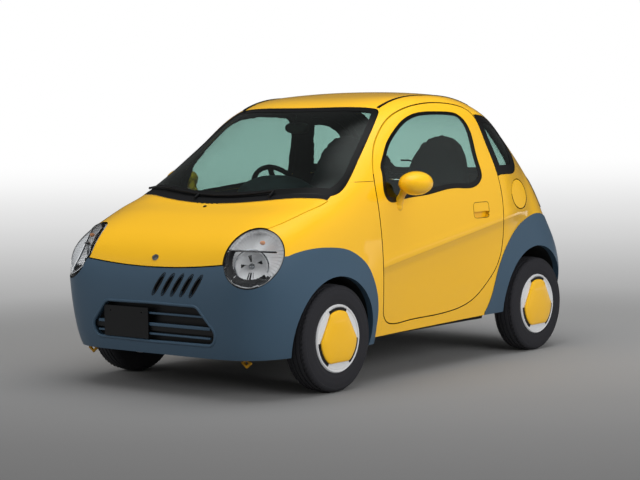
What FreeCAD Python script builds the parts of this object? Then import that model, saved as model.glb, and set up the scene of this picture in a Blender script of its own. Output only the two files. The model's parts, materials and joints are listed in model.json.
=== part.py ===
import FreeCAD, Part
import math
import os

from FreeCAD import Placement, Rotation, Vector

# A two-seat city car of the smallest class: x runs forward, y to the car's left, z up from the ground,
# and the origin is on the ground under the middle of the body. Lengths are in millimetres.

# Overall sizes
LENGTH = 2735.0
WIDTH = 1475.0
HEIGHT = 1450.0
WHEELBASE = 1800.0
FRONT_OVERHANG = 545.0
FRONT_TRACK = 1310.0
REAR_TRACK = 1290.0

# Body walls, gaps and clearances
PANEL_WALL = 28.0
SIDE_WALL = 55.0
GLASS_RECESS = 3.0
GLASS_THICKNESS = 5.0
SHUT_GAP = 6.0
SEAT_GAP = 0.3
OVERRUN = 400.0
SHELL_BASE = 100.0
UNDERSIDE = 195.0
SILL_FRONT = 224.0
SILL_REAR = 250.0

# Door, its window and the fixed window behind it, on the left side
DOOR_FRONT = 459.0
DOOR_LENGTH = 1119.0
DOOR_BOTTOM = 284.0
DOOR_HEIGHT = 1098.0
BELT_HEIGHT = 880.0
FENDER_SEAM_HEIGHT = 1000.0
FENDER_REAR = 447.0
QUARTER_FRONT = -553.0
QUARTER_LENGTH = 340.0
QUARTER_BOTTOM = 983.0
QUARTER_HEIGHT = 337.0
HANDLE_FRONT = -369.0
HANDLE_LENGTH = 146.0
HANDLE_BOTTOM = 770.0
HANDLE_HEIGHT = 84.0
HANDLE_DEPTH = 24.0
HANDLE_ROUND = 24.0
FLAP_HEIGHT = 50.0
FLAP_WALL = 9.0

# Wheel openings in the bumpers
FRONT_ARCH_RADIUS = 292.0
FRONT_ARCH_HEIGHT = 268.0
REAR_ARCH_RADIUS = 312.0
REAR_ARCH_HEIGHT = 276.0
REAR_ARCH_SHIFT = 17.0
HOUSING_INNER = 432.0
HOUSING_WALL = 6.0
HOUSING_BOTTOM = 300.0

# Headlamps, tail lamps and the nose
LAMP_TURN = 40.0
LAMP_ACROSS = -368.0
LAMP_HEIGHT = 667.0
LAMP_LONG = 153.0
LAMP_SHORT = 121.0
LAMP_TILT = 38.0
LAMP_SWELL = 55.0
LAMP_REACH = 150.0
TAIL_LAMP_TURN = 140.0
TAIL_LAMP_ACROSS = 292.0
TAIL_LAMP_HEIGHT = 880.0
TAIL_LAMP_LONG = 92.0
TAIL_LAMP_SHORT = 62.0
TAIL_LAMP_TILT = 90.0
NOSE_EDGE_HEIGHT = 618.0
NOSE_EDGE_RISE = 25.0
NOSE_EDGE_HALF = 441.0
NOSE_EDGE_BACK = 1120.0
INTAKE_TOP_HALF = 300.0
INTAKE_HALF = 413.0
INTAKE_LOW_HALF = 385.0
INTAKE_TOP = 442.0
INTAKE_SHOULDER = 320.0
INTAKE_BOTTOM = 258.0
INTAKE_ROUND = 48.0
SLOT_COUNT = 5
SLOT_FIRST = 19.0
SLOT_PITCH = 61.0
SLOT_LEAN = 72.0
SLOT_WIDTH = 21.0
SLOT_BOTTOM = 485.0
SLOT_TOP = 590.0
SLOT_BACK = 1250.0
GRILLE_FACE = 1318.0
GRILLE_WALL = 10.0
GRILLE_BAR = 26.0
BOARD_CENTRE = -172.0
BOARD_HEIGHT = 342.0
BOARD_WIDTH = 300.0
BOARD_TALL = 150.0
BOARD_WALL = 6.0
BOARD_FACE = 1360.0
BOARD_HOLE_RADIUS = 3.5
BOARD_HOLE_SPACING = 210.0
BOARD_HOLE_UP = 50.0
REAR_BOARD_FACE = -1358.0
REAR_BOARD_HEIGHT = 420.0

# Bonnet, cowl, windscreen and roof, seen from above
BONNET_REAR = 930.0
BONNET_CORNER_X = 780.0
BONNET_CORNER_Y = 627.0
BONNET_LAMP_X = 1160.0
BONNET_LAMP_Y = 545.0
SCREEN_BASE = 880.0
SCREEN_CORNER_X = 742.0
SCREEN_CORNER_Y = 622.0
SCREEN_TOP = 185.0
SCREEN_TOP_CORNER_X = 152.0
ROOF_HALF = 458.0
ROOF_REAR = -690.0
HATCH_BOTTOM = 935.0
HATCH_BOTTOM_HALF = 505.0
HATCH_BEND_HEIGHT = 1300.0
HATCH_CORNER = 70.0
HATCH_FRAME = 34.0
REAR_PANEL_HALF = 430.0
REAR_PANEL_FRONT = -900.0
REST_DEPTH = 22.0

# Fuel lid on the left rear quarter
LID_X = -837.0
LID_HEIGHT = 880.0
LID_RADIUS = 78.0
LID_WALL = 9.0
LID_POCKET_Y = 652.0
FILLER_RADIUS = 30.0
FILLER_LENGTH = 14.0

# Wheels, tyres and their caps
TYRE_RADIUS = 260.4
TYRE_WIDTH = 135.0
RIM_RADIUS = 152.0
RIM_LIP = 163.0
RIM_WALL = 10.0
WHEEL_FACE = 64.0
WHEEL_HUB_RADIUS = 52.0
WHEEL_HUB_BACK = -5.0
SPINDLE_RADIUS = 15.0
CAP_TIPS = 3
CAP_TIP_RADIUS = 137.0
CAP_TIP_HALF = 27.0
CAP_ROUND = 14.0
CAP_WALL = 9.0

# Front suspension: the steering axis leans inwards from the lower ball to the strut's top
BALL_ACROSS = 612.0
BALL_HEIGHT = 182.0
BALL_RADIUS = 16.0
STRUT_TOP_ACROSS = 500.0
STRUT_TOP_HEIGHT = 735.0
STRUT_RADIUS = 24.0
UPRIGHT_RADIUS = 19.0
SPRING_RADIUS = 50.0
SPRING_LENGTH = 130.0
TOWER_RADIUS = 68.0
TOWER_TOP_WALL = 12.0
CARRIER_RADIUS = 44.0
CARRIER_LENGTH = 62.0
ARM_PIVOT_ACROSS = 300.0
ARM_RADIUS = 17.0
ARM_BRACE_BACK = 210.0
SUBFRAME_LENGTH = 150.0
SUBFRAME_BACK = 105.0
LEGS_BACK = 225.0
SUBFRAME_HEIGHT = 45.0

# Rear suspension
BEAM_RADIUS = 32.0
BEAM_BEHIND = 70.0
BEAM_HALF = 520.0
TRAILING_PIVOT_X = -560.0
TRAILING_ACROSS = 480.0
TRAILING_WIDTH = 44.0
TRAILING_HEIGHT = 60.0
REAR_SPRING_ACROSS = 355.0

# Floor, bulkhead and rails
FLOOR_BOTTOM = 215.0
FLOOR_WALL = 30.0
BULKHEAD_X = 690.0
BULKHEAD_WALL = 20.0
HEEL_X = -520.0
REAR_FLOOR_BOTTOM = 455.0
REAR_FLOOR_WALL = 25.0
LINING_WALL = 18.0
JAMB_HALF = 330.0
JAMB_TOP = 325.0
LINING_FRONT = -640.0
LINING_TOP = 780.0
PLENUM_BOTTOM = 845.0
RAIL_INNER = 345.0
RAIL_OUTER = 415.0
RAIL_BOTTOM = 330.0
RAIL_TOP = 420.0
SLAM_PANEL_BACK = 1215.0
SLAM_PANEL_HALF = 600.0
SLAM_PANEL_BOTTOM = 545.0
SLAM_PANEL_TOP = 585.0
STOP_ACROSS = 150.0

# Engine and gearbox as one block, radiator, tank and exhaust
ENGINE_BACK = 760.0
ENGINE_FRONT = 1140.0
ENGINE_HALF = 325.0
ENGINE_TOP = 690.0
TANK_FRONT = -60.0
TANK_BACK = -520.0
TANK_HALF = 330.0
TANK_BOTTOM = 150.0
MUFFLER_RADIUS = 70.0
MUFFLER_LENGTH = 420.0
MUFFLER_X = -1200.0
MUFFLER_HEIGHT = 330.0
PIPE_RADIUS = 20.0
PIPE_ACROSS = -400.0
PIPE_FRONT = 640.0
PIPE_HEIGHT = 185.0
TAILPIPE_END = -1355.0
OUTLET_HEIGHT = 165.0

# Cabin
SEAT_ACROSS = 335.0
SEAT_WIDTH = 480.0
SEAT_FRONT = 150.0
SEAT_LENGTH = 500.0
SEAT_BOTTOM = 330.0
SEAT_THICKNESS = 170.0
SEAT_BASE_WIDTH = 360.0
BACK_TOP = 1250.0
BACK_LEAN = 215.0
BACK_THICKNESS = 120.0
SEAT_ROUND = 40.0
DASH_HALF = 605.0
DASH_DEPTH = 265.0
DASH_TOP = 935.0
DASH_BOTTOM = 610.0
STEER_X = 0.0
STEER_ACROSS = -340.0
STEER_HEIGHT = 889.0
STEER_LEAN = 25.0
STEER_RADIUS = 175.0
STEER_RIM = 14.0
STEER_HUB_RADIUS = 62.0
STEER_HUB_LENGTH = 44.0
COLUMN_RADIUS = 32.0
MIRROR_X = 215.0
MIRROR_HEIGHT = 1262.0
MIRROR_HALF = 105.0
MIRROR_TALL = 62.0
MIRROR_WALL = 16.0
MIRROR_ROUND = 7.2

# Door mirrors
POD_X = 286.0
POD_ACROSS = 800.0
POD_HEIGHT = 985.0
POD_HALF_LENGTH = 95.0
POD_HALF_WIDTH = 82.0
POD_HALF_HEIGHT = 60.0
POD_FOOT_X = 280.0
POD_FOOT_ACROSS = 674.0
POD_FOOT_HEIGHT = 866.0
POD_FOOT_RADIUS = 27.0
POD_NECK_RADIUS = 17.0
POD_NECK_ACROSS = 750.0

# Wipers and tow hooks: where their rods meet, a ball stands a little proud of them
ROD_JOINT_SHARE = 1.15
WIPER_UP = 22.0
WIPER_FIRST_ACROSS = 330.0
WIPER_PITCH = 470.0
WIPER_REACH = 470.0
WIPER_RADIUS = 6.0
WIPER_STAND = 9.0
WIPER_RUNS = 4
WIPER_PIVOT_AHEAD = 33.0
WIPER_PIVOT_RADIUS = 9.0
HOOK_X = 1255.0
HOOK_ACROSS = 516.0
HOOK_RADIUS = 7.0
HOOK_DROP = 34.0
HOOK_HALF = 24.0

# How the flares swell over the wheels
FLARE_SWELL = 34.0
FLARE_REACH = 320.0
FLARE_HEIGHT = 380.0
FLARE_RISE = 240.0
BUMPER_STAND = 4.0

half_length = LENGTH / 2
half_width = WIDTH / 2
skin_half_length = half_length - BUMPER_STAND
front_axle = half_length - FRONT_OVERHANG
rear_axle = front_axle - WHEELBASE

# Level lines of the body, as shares of its height, half length and half width: height, nose, tail and
# side, then how square the front and rear corners are (2 is an ellipse)
LEVEL_SHARES = [
    (0.0690, 0.9506, 0.9433, 0.8720, 6.0, 6.2),
    (0.1310, 0.9762, 0.9689, 0.9100, 6.5, 6.8),
    (0.2069, 0.9923, 0.9887, 0.9370, 6.8, 7.4),
    (0.3034, 1.0000, 1.0000, 0.9550, 6.8, 7.4),
    (0.3724, 0.9960, 0.9980, 0.9600, 6.4, 6.6),
    (0.4262, 0.9821, 0.9920, 0.9610, 6.0, 5.7),
    (0.4690, 0.9594, 0.9835, 0.9590, 5.9, 5.0),
    (0.5103, 0.9228, 0.9730, 0.9560, 5.8, 4.5),
    (0.5483, 0.8665, 0.9610, 0.9510, 5.6, 4.2),
    (0.5828, 0.7898, 0.9470, 0.9460, 5.4, 4.0),
    (0.6083, 0.7203, 0.9340, 0.9410, 5.2, 3.85),
    (0.6262, 0.6618, 0.9240, 0.9370, 5.0, 3.75),
    (0.6552, 0.6084, 0.9050, 0.9260, 4.5, 3.65),
    (0.7034, 0.5280, 0.8700, 0.9060, 3.9, 3.5),
    (0.7655, 0.4329, 0.8260, 0.8760, 3.4, 3.3),
    (0.8276, 0.3386, 0.7690, 0.8430, 3.3, 3.2),
    (0.8897, 0.2413, 0.6950, 0.8150, 3.4, 3.1),
    (0.9379, 0.1499, 0.6060, 0.7600, 3.5, 3.0),
    (0.9690, 0.0548, 0.5090, 0.6950, 3.3, 2.9),
    (0.9862, -0.0500, 0.4030, 0.5950, 3.0, 2.75),
    (1.0000, -0.1828, 0.1828, 0.0, 2.6, 2.6),
]
# Where the front and rear corners start to turn, as shares: height, front start, rear start
TURN_SHARES = [
    (0.0690, 0.2194, -0.3656),
    (0.6200, 0.2194, -0.3656),
    (0.7034, 0.1900, -0.3500),
    (0.7862, 0.1097, -0.3100),
    (0.8966, -0.0293, -0.2560),
    (0.9655, -0.1316, -0.2050),
    (1.0000, -0.1828, -0.1828),
]
# How many fans of rays measure the body, and the angles in degrees at which the rays leave sideways
FAN_STEPS = 44
RAY_ANGLES = [0, 5, 10, 14.5, 18, 20.5, 22.5, 24.5, 27, 30.5, 35, 41, 48, 56, 64, 72, 80, 86, 90]
SEARCH_STEPS = 34
PROBE_SHARE = 0.00002


def rows_to_curve(points):
    """Return the natural cubic curve through (place, value) points as a function of the place."""
    points = sorted(points)
    place = [p[0] for p in points]
    value = [p[1] for p in points]
    last = len(points) - 1
    span = [place[i + 1] - place[i] for i in range(last)]
    diagonal = [1.0] * (last + 1)
    upper = [0.0] * (last + 1)
    bend = [0.0] * (last + 1)
    for i in range(1, last):
        slope_after = (value[i + 1] - value[i]) / span[i]
        slope_before = (value[i] - value[i - 1]) / span[i - 1]
        diagonal[i] = 2 * (span[i - 1] + span[i]) - span[i - 1] * upper[i - 1]
        upper[i] = span[i] / diagonal[i]
        bend[i] = (6 * (slope_after - slope_before) - span[i - 1] * bend[i - 1]) / diagonal[i]
    for i in range(last - 1, 0, -1):
        bend[i] -= upper[i] * bend[i + 1]

    def curve(t):
        i = 0
        while i < last - 1 and place[i + 1] <= t:
            i += 1
        p = (place[i + 1] - t) / span[i]
        q = (t - place[i]) / span[i]
        bulge = ((p ** 3 - p) * bend[i] + (q ** 3 - q) * bend[i + 1]) * span[i] ** 2 / 6
        return p * value[i] + q * value[i + 1] + bulge

    return curve


def depth_below_crown(height_share):
    return math.sqrt(max(0.0, 1.0 - height_share))


def level_curve(column, rows):
    return rows_to_curve([(depth_below_crown(row[0]), row[column]) for row in rows])


nose_curve = level_curve(1, LEVEL_SHARES)
tail_curve = level_curve(2, LEVEL_SHARES)
side_curve = level_curve(3, LEVEL_SHARES)
front_square_curve = level_curve(4, LEVEL_SHARES)
rear_square_curve = level_curve(5, LEVEL_SHARES)
front_turn_curve = level_curve(1, TURN_SHARES)
rear_turn_curve = level_curve(2, TURN_SHARES)


def flare_swell(x, z):
    """Return how far the skin stands out over the wheels at a place on the side."""
    rise = (z - FLARE_HEIGHT) / FLARE_RISE
    return max(
        FLARE_SWELL * math.exp(-(((x - axle) / FLARE_REACH) ** 2) - rise ** 2)
        for axle in (front_axle, rear_axle)
    )


lamp_angle = math.radians(LAMP_TURN)


def lamp_swell(x, y, z):
    """Return how far the skin bulges round the headlamps."""
    aside = abs(y) * math.cos(lamp_angle) - x * math.sin(lamp_angle) - LAMP_ACROSS
    return LAMP_SWELL * math.exp(-(aside ** 2 + (z - LAMP_HEIGHT) ** 2) / LAMP_REACH ** 2)


def body_side(x, y, z):
    """Return a number that is below zero inside the body and above zero outside it."""
    if z >= HEIGHT:
        return 1.0
    depth = depth_below_crown(z / HEIGHT)
    breadth = side_curve(depth) * half_width + flare_swell(x, z)
    front_turn = front_turn_curve(depth) * skin_half_length
    rear_turn = rear_turn_curve(depth) * skin_half_length
    across = abs(y) / max(breadth, SEAT_GAP)
    if x > front_turn:
        along = (x - front_turn) / max(nose_curve(depth) * skin_half_length - front_turn, SEAT_GAP)
        square = front_square_curve(depth)
    elif x < rear_turn:
        along = (rear_turn - x) / max(rear_turn + tail_curve(depth) * skin_half_length, SEAT_GAP)
        square = rear_square_curve(depth)
    else:
        return across - 1.0
    swell = lamp_swell(x, y, z) / half_length if x > front_turn else 0.0
    return (along ** square + across ** square) ** (1 / square) - 1.0 - swell


def skin_point(foot, direction):
    """Return the place where a ray from inside the body leaves its skin."""
    near = 0.0
    far = LENGTH
    for _ in range(SEARCH_STEPS):
        middle = (near + far) / 2
        p = foot + direction * middle
        if body_side(p.x, p.y, p.z) > 0:
            far = middle
        else:
            near = middle
    return foot + direction * near


def outward(p):
    """Return the unit normal of the skin at one of its places."""
    step = LENGTH * PROBE_SHARE
    z = min(p.z, HEIGHT - step * 2)
    slope = Vector(
        body_side(p.x + step, p.y, z) - body_side(p.x - step, p.y, z),
        body_side(p.x, p.y + step, z) - body_side(p.x, p.y - step, z),
        body_side(p.x, p.y, z + step) - body_side(p.x, p.y, z - step),
    )
    return slope.normalize()


def ray_feet():
    """Return the feet of the ray fans along the floor line, with each fan's angle from straight ahead."""
    middle = (front_axle + rear_axle) / 2
    angles = [math.pi * i / FAN_STEPS for i in range(FAN_STEPS + 1)]
    return [(middle + WHEELBASE / 2 * math.cos(angle), angle) for angle in angles]


def skin_rows():
    """Return rows of (place, normal) that cover the whole skin above the base plane."""
    angles = [-a for a in RAY_ANGLES[:0:-1]] + RAY_ANGLES
    rows = []
    for x, fan in ray_feet():
        row = []
        for degrees in angles:
            turn = math.radians(degrees)
            direction = Vector(math.cos(turn) * math.cos(fan), math.sin(turn), math.cos(turn) * math.sin(fan))
            place = skin_point(Vector(x, 0, SHELL_BASE), direction)
            normal = outward(place)
            if abs(degrees) == RAY_ANGLES[-1] or not math.sin(fan) > PROBE_SHARE:
                place.z = SHELL_BASE
                normal.z = 0
                normal.normalize()
            if not degrees:
                normal.y = 0
                normal.normalize()
            row.append((place, normal))
        rows.append(row)
    return rows


SKIN = skin_rows()


def chord_places(rows):
    """Return a place for each point along the rows, from the mean distance between neighbours."""
    places = [0.0]
    for i in range(1, len(rows[0])):
        steps = [(row[i] - row[i - 1]).Length for row in rows]
        places.append(places[-1] + sum(steps) / len(steps))
    return [p / places[-1] for p in places]


def curve_through(points, places):
    curve = Part.BSplineCurve()
    curve.interpolate(Points=points, Parameters=places)
    return curve


def surface_through(rows):
    """Return the smooth surface that passes through a grid of points."""
    across = chord_places(rows)
    along = chord_places([list(column) for column in zip(*rows)])
    row_curves = [curve_through(row, across) for row in rows]
    pole_columns = zip(*[curve.getPoles() for curve in row_curves])
    column_curves = [curve_through(list(column), along) for column in pole_columns]
    poles = [list(row) for row in zip(*[curve.getPoles() for curve in column_curves])]
    surface = Part.BSplineSurface()
    surface.buildFromPolesMultsKnots(
        poles,
        column_curves[0].getMultiplicities(),
        row_curves[0].getMultiplicities(),
        column_curves[0].getKnots(),
        row_curves[0].getKnots(),
        False,
        False,
        column_curves[0].Degree,
        row_curves[0].Degree,
    )
    return surface


def skin_solid(depth):
    """Return the solid inside the skin at a depth under it."""
    rows = [[place - normal * depth for place, normal in row] for row in SKIN]
    cover = surface_through(rows).toShape()
    floor = Part.Face(Part.Wire(Part.__sortEdges__(cover.Edges)))
    solid = Part.Solid(Part.Shell([cover, floor]))
    if solid.Volume < 0:
        solid.reverse()
    return solid


def flat_loop(runs):
    """Return the closed wire through runs of points: each run is one smooth curve to the next run's start."""
    if len(runs) == 1:
        curve = Part.BSplineCurve()
        curve.interpolate(Points=runs[0], PeriodicFlag=True)
        return Part.Wire([curve.toShape()])
    edges = []
    for run, following in zip(runs, runs[1:] + runs[:1]):
        points = run + following[:1]
        if len(points) == 2:
            edges.append(Part.LineSegment(*points).toShape())
        else:
            curve = Part.BSplineCurve()
            curve.interpolate(Points=points)
            edges.append(curve.toShape())
    return Part.Wire(edges)


def grown(runs, gap):
    """Return the runs of a closed outline moved outwards in its own plane by a gap."""
    points = [p for run in runs for p in run]
    middle = sum(points, Vector()) * (1 / len(points))
    winding = sum(((p - middle).cross(q - middle) for p, q in zip(points, points[1:] + points[:1])), Vector())
    normal = winding.normalize()
    moved = []
    for i, p in enumerate(points):
        before = (p - points[i - 1]).normalize().cross(normal)
        after = (points[(i + 1) % len(points)] - p).normalize().cross(normal)
        moved.append(p + (before + after) * (gap / (1 + before.dot(after))))
    result = []
    for run in runs:
        result.append(moved[:len(run)])
        moved = moved[len(run):]
    return result


def prism(runs, reach):
    return Part.Face(flat_loop(runs)).extrude(reach)


def block(x0, x1, y0, y1, z0, z1):
    corner = Vector(min(x0, x1), min(y0, y1), min(z0, z1))
    return Part.makeBox(abs(x1 - x0), abs(y1 - y0), abs(z1 - z0), corner)


def across_cylinder(x, z, radius, y0, y1):
    return Part.makeCylinder(radius, y1 - y0, Vector(x, y0, z), Vector(0, 1, 0))


def mirrored(shape):
    return shape.mirror(Vector(), Vector(0, 1, 0))


def both_sides(shape):
    return shape.fuse(mirrored(shape))


def main_solid(shape):
    """Return the largest solid of a cut shape, without the crumbs that a cut may leave."""
    return max(shape.Solids, key=lambda solid: solid.Volume)


def without(shape, *cutters):
    for cutter in cutters:
        shape = shape.cut(cutter)
    return shape


os.makedirs("parts", exist_ok=True)


def save(name, shape):
    shape.exportStep("parts/" + name + ".step")
    solids = len(shape.Solids)
    print(name, solids, "solids", round(shape.Volume / 1000), "cm3", "" if shape.isValid() else "INVALID")


# The skin and the surfaces under it
SHELL_TOP = HEIGHT + OVERRUN
outer_body = skin_solid(0.0)
inside_panels = skin_solid(PANEL_WALL)
inside_sides = skin_solid(SIDE_WALL)
glass_outer = skin_solid(GLASS_RECESS)
glass_inner = skin_solid(GLASS_RECESS + GLASS_THICKNESS)
above_underside = block(-LENGTH, LENGTH, -WIDTH, WIDTH, UNDERSIDE, SHELL_TOP)
sill_slope = (SILL_REAR - SILL_FRONT) / WHEELBASE


def above_sill(x0, x1):
    """Return the room above the sloping lower edge of the sides, between two places along the body."""
    points = [
        Vector(x0, -WIDTH, SILL_FRONT + (front_axle - x0) * sill_slope),
        Vector(x1, -WIDTH, SILL_FRONT + (front_axle - x1) * sill_slope),
        Vector(x1, -WIDTH, SHELL_TOP),
        Vector(x0, -WIDTH, SHELL_TOP),
    ]
    return prism([[p] for p in points], Vector(0, WIDTH * 2, 0))


panel_shell = outer_body.cut(inside_panels).common(above_underside)
bumper_shell = skin_solid(-BUMPER_STAND).cut(inside_panels).common(above_underside)
upper_hollow = inside_panels.common(block(-LENGTH, LENGTH, -WIDTH, WIDTH, BELT_HEIGHT, SHELL_TOP))
side_shell = outer_body.cut(inside_sides.fuse(upper_hollow)).common(above_underside)
glass_shell = glass_outer.cut(glass_inner).common(above_underside)

# Outlines on the side, as shares of the door's own length and height from its front lower corner
DOOR_SHARES = [
    (0.016, 0.102), (0.014, 0.200), (0.015, 0.282), (0.014, 0.352), (0.010, 0.447), (0.004, 0.543),
    (0.003, 0.631), (0.025, 0.705), (0.075, 0.780), (0.150, 0.855), (0.244, 0.925), (0.366, 0.973),
    (0.470, 0.992), (0.567, 1.000), (0.699, 0.999), (0.806, 0.986), (0.885, 0.951), (0.916, 0.888),
    (0.937, 0.811), (0.962, 0.729), (0.982, 0.638), (0.992, 0.526), (0.987, 0.415), (0.971, 0.324),
    (0.945, 0.248), (0.902, 0.184), (0.836, 0.124), (0.761, 0.070), (0.654, 0.030), (0.542, 0.014),
    (0.375, 0.007), (0.210, 0.004), (0.094, 0.001), (0.042, 0.020), (0.020, 0.055),
]
WINDOW_SHARES = [
    (0.071, 0.703), (0.063, 0.654), (0.058, 0.590), (0.080, 0.561), (0.167, 0.558), (0.387, 0.575),
    (0.618, 0.595), (0.815, 0.613), (0.843, 0.640), (0.842, 0.705), (0.835, 0.807), (0.816, 0.890),
    (0.768, 0.943), (0.685, 0.960), (0.550, 0.963), (0.410, 0.953), (0.312, 0.923), (0.228, 0.872),
    (0.147, 0.804), (0.101, 0.753),
]
# The fixed window, as shares of its own length and height from its front lower corner, in two runs
QUARTER_FRONT_SHARES = [(0.247, 0.0), (0.191, 0.300), (0.109, 0.570), (0.038, 0.819)]
QUARTER_REAR_SHARES = [
    (0.0, 1.0), (0.335, 0.979), (0.726, 0.837), (0.962, 0.579), (0.976, 0.276), (0.865, 0.080),
    (0.550, 0.027),
]


def door_place(share):
    return Vector(DOOR_FRONT - share[0] * DOOR_LENGTH, 0, DOOR_BOTTOM + share[1] * DOOR_HEIGHT)


def quarter_place(share):
    return Vector(QUARTER_FRONT - share[0] * QUARTER_LENGTH, 0, QUARTER_BOTTOM + share[1] * QUARTER_HEIGHT)


to_left = Vector(0, WIDTH, 0)
door_outline = [[door_place(share) for share in DOOR_SHARES]]
window_outline = [[door_place(share) for share in WINDOW_SHARES]]
quarter_outline = [
    [quarter_place(share) for share in QUARTER_FRONT_SHARES],
    [quarter_place(share) for share in QUARTER_REAR_SHARES],
]
door_prism = prism(door_outline, to_left)
door_room = prism(grown(door_outline, SHUT_GAP), to_left)
window_prism = prism(window_outline, to_left)
quarter_prism = prism(quarter_outline, to_left)

# Upper edges of the bumpers with their flares, along x as shares of the overhang from the axle, and up
# as shares of the body's height
FRONT_FLARE_SHARES = [
    (0.572, 0.467), (0.419, 0.479), (0.216, 0.485), (0.041, 0.482), (-0.162, 0.470), (-0.335, 0.441),
    (-0.452, 0.406), (-0.529, 0.359), (-0.583, 0.305), (-0.604, 0.257), (-0.601, 0.199),
]
REAR_FLARE_SHARES = [
    (1.268, 0.179), (1.160, 0.226), (1.088, 0.283), (1.000, 0.343), (0.815, 0.414), (0.514, 0.483),
    (0.222, 0.515), (-0.073, 0.527), (-0.391, 0.516), (-0.699, 0.486),
]
rear_overhang = half_length + rear_axle


def flare_place(axle, overhang, share):
    return Vector(axle + share[0] * overhang, 0, share[1] * HEIGHT)


front_flare = [flare_place(front_axle, FRONT_OVERHANG, share) for share in FRONT_FLARE_SHARES]
front_flare_outline = [
    front_flare[:-1],
    [front_flare[-1]],
    [Vector(front_flare[-1].x, 0, 0)],
    [Vector(LENGTH, 0, 0)],
    [Vector(LENGTH, 0, front_flare[0].z)],
]
rear_flare = [flare_place(rear_axle, rear_overhang, share) for share in REAR_FLARE_SHARES]
rear_flare_outline = [
    rear_flare[:-1],
    [rear_flare[-1]],
    [Vector(-LENGTH, 0, rear_flare[-1].z)],
    [Vector(-LENGTH, 0, 0)],
    [Vector(rear_flare[0].x, 0, 0)],
]


def full_width(runs):
    return prism([[p - Vector(0, WIDTH, 0) for p in run] for run in runs], to_left * 2)


front_bumper_room = full_width(front_flare_outline)
rear_bumper_room = full_width(rear_flare_outline)
rear_arch_x = rear_axle + REAR_ARCH_SHIFT
front_arches = both_sides(
    across_cylinder(front_axle, FRONT_ARCH_HEIGHT, FRONT_ARCH_RADIUS, HOUSING_INNER, WIDTH)
)
rear_arches = both_sides(
    across_cylinder(rear_arch_x, REAR_ARCH_HEIGHT, REAR_ARCH_RADIUS, HOUSING_INNER, WIDTH)
)


def lamp_prism(turn, across, height, long_half, short_half, tilt, margin):
    """Return the left lamp's room: an ellipse pushed through the corner of the body."""
    turn_angle = math.radians(turn)
    tilt_angle = math.radians(tilt)
    outward_way = Vector(math.cos(turn_angle), math.sin(turn_angle), 0)
    sideways = Vector(-math.sin(turn_angle), math.cos(turn_angle), 0)
    centre = sideways * across + Vector(0, 0, height) + outward_way * (half_width / 2)
    long_way = sideways * math.cos(tilt_angle) + Vector(0, 0, math.sin(tilt_angle))
    short_way = outward_way.cross(long_way)
    ellipse = Part.Ellipse(
        centre + long_way * (long_half + margin), centre + short_way * (short_half + margin), centre
    )
    return Part.Face(Part.Wire([ellipse.toShape()])).extrude(outward_way * LENGTH)


headlamp_size = (LAMP_TURN, LAMP_ACROSS, LAMP_HEIGHT, LAMP_LONG, LAMP_SHORT, LAMP_TILT)
headlamp_room = lamp_prism(*headlamp_size, 0.0)
headlamp_gap = both_sides(lamp_prism(*headlamp_size, SHUT_GAP))
headlamp_seat = both_sides(lamp_prism(*headlamp_size, SEAT_GAP))
tail_lamp_size = (
    TAIL_LAMP_TURN, TAIL_LAMP_ACROSS, TAIL_LAMP_HEIGHT, TAIL_LAMP_LONG, TAIL_LAMP_SHORT, TAIL_LAMP_TILT
)
tail_lamp_room = lamp_prism(*tail_lamp_size, 0.0)
tail_lamp_rooms = both_sides(lamp_prism(*tail_lamp_size, SEAT_GAP))

# Outlines seen from above
BONNET_SIDE_SHARES = [(0.0, 0.0), (0.14, 0.02), (0.40, 0.20), (0.70, 0.48), (1.0, 1.0)]


def above(x, y):
    return Vector(x, y, 0)


def bonnet_side(share):
    x = BONNET_CORNER_X + share[0] * (BONNET_LAMP_X - BONNET_CORNER_X)
    return above(x, BONNET_CORNER_Y - share[1] * (BONNET_CORNER_Y - BONNET_LAMP_Y))


def bow(front_x, corner_x, corner_y):
    """Return the three points of an arc across the body: its left end, its middle and its right end."""
    return [above(corner_x, corner_y), above(front_x, 0), above(corner_x, -corner_y)]


def arc_edge(points):
    return Part.Arc(*points).toShape()


def line_edge(p, q):
    return Part.LineSegment(p, q).toShape()


def plan_prism(edges):
    wire = Part.Wire(Part.__sortEdges__(edges))
    return Part.Face(wire).extrude(Vector(0, 0, SHELL_TOP))


def smooth_edge(points):
    curve = Part.BSplineCurve()
    curve.interpolate(Points=points)
    return curve.toShape()


def other_side(points):
    return [Vector(p.x, -p.y, p.z) for p in points]


def bonnet_room(gap):
    side = [bonnet_side(share) for share in BONNET_SIDE_SHARES]
    side = [above(p.x, p.y + gap) for p in side]
    side[0].x -= gap
    nose = [side[-1], above(LENGTH, side[-1].y)]
    rear = bow(BONNET_REAR - gap, side[0].x, side[0].y)
    return plan_prism([
        arc_edge(rear), smooth_edge(side), smooth_edge(other_side(side)), line_edge(*nose),
        line_edge(*other_side(nose)), line_edge(nose[1], other_side(nose)[1]),
    ])


# The windscreen's side edge from its lower corner, as shares of its length and of its lower half width
SCREEN_SIDE_SHARES = [
    (0.0, 1.0), (0.088, 1.023), (0.207, 1.011), (0.319, 0.982), (0.629, 0.894), (0.780, 0.854),
    (0.919, 0.807), (0.976, 0.776),
]


def screen_side_place(share):
    x = SCREEN_CORNER_X - share[0] * (SCREEN_CORNER_X - SCREEN_TOP_CORNER_X)
    return above(x, SCREEN_CORNER_Y * share[1])


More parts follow.
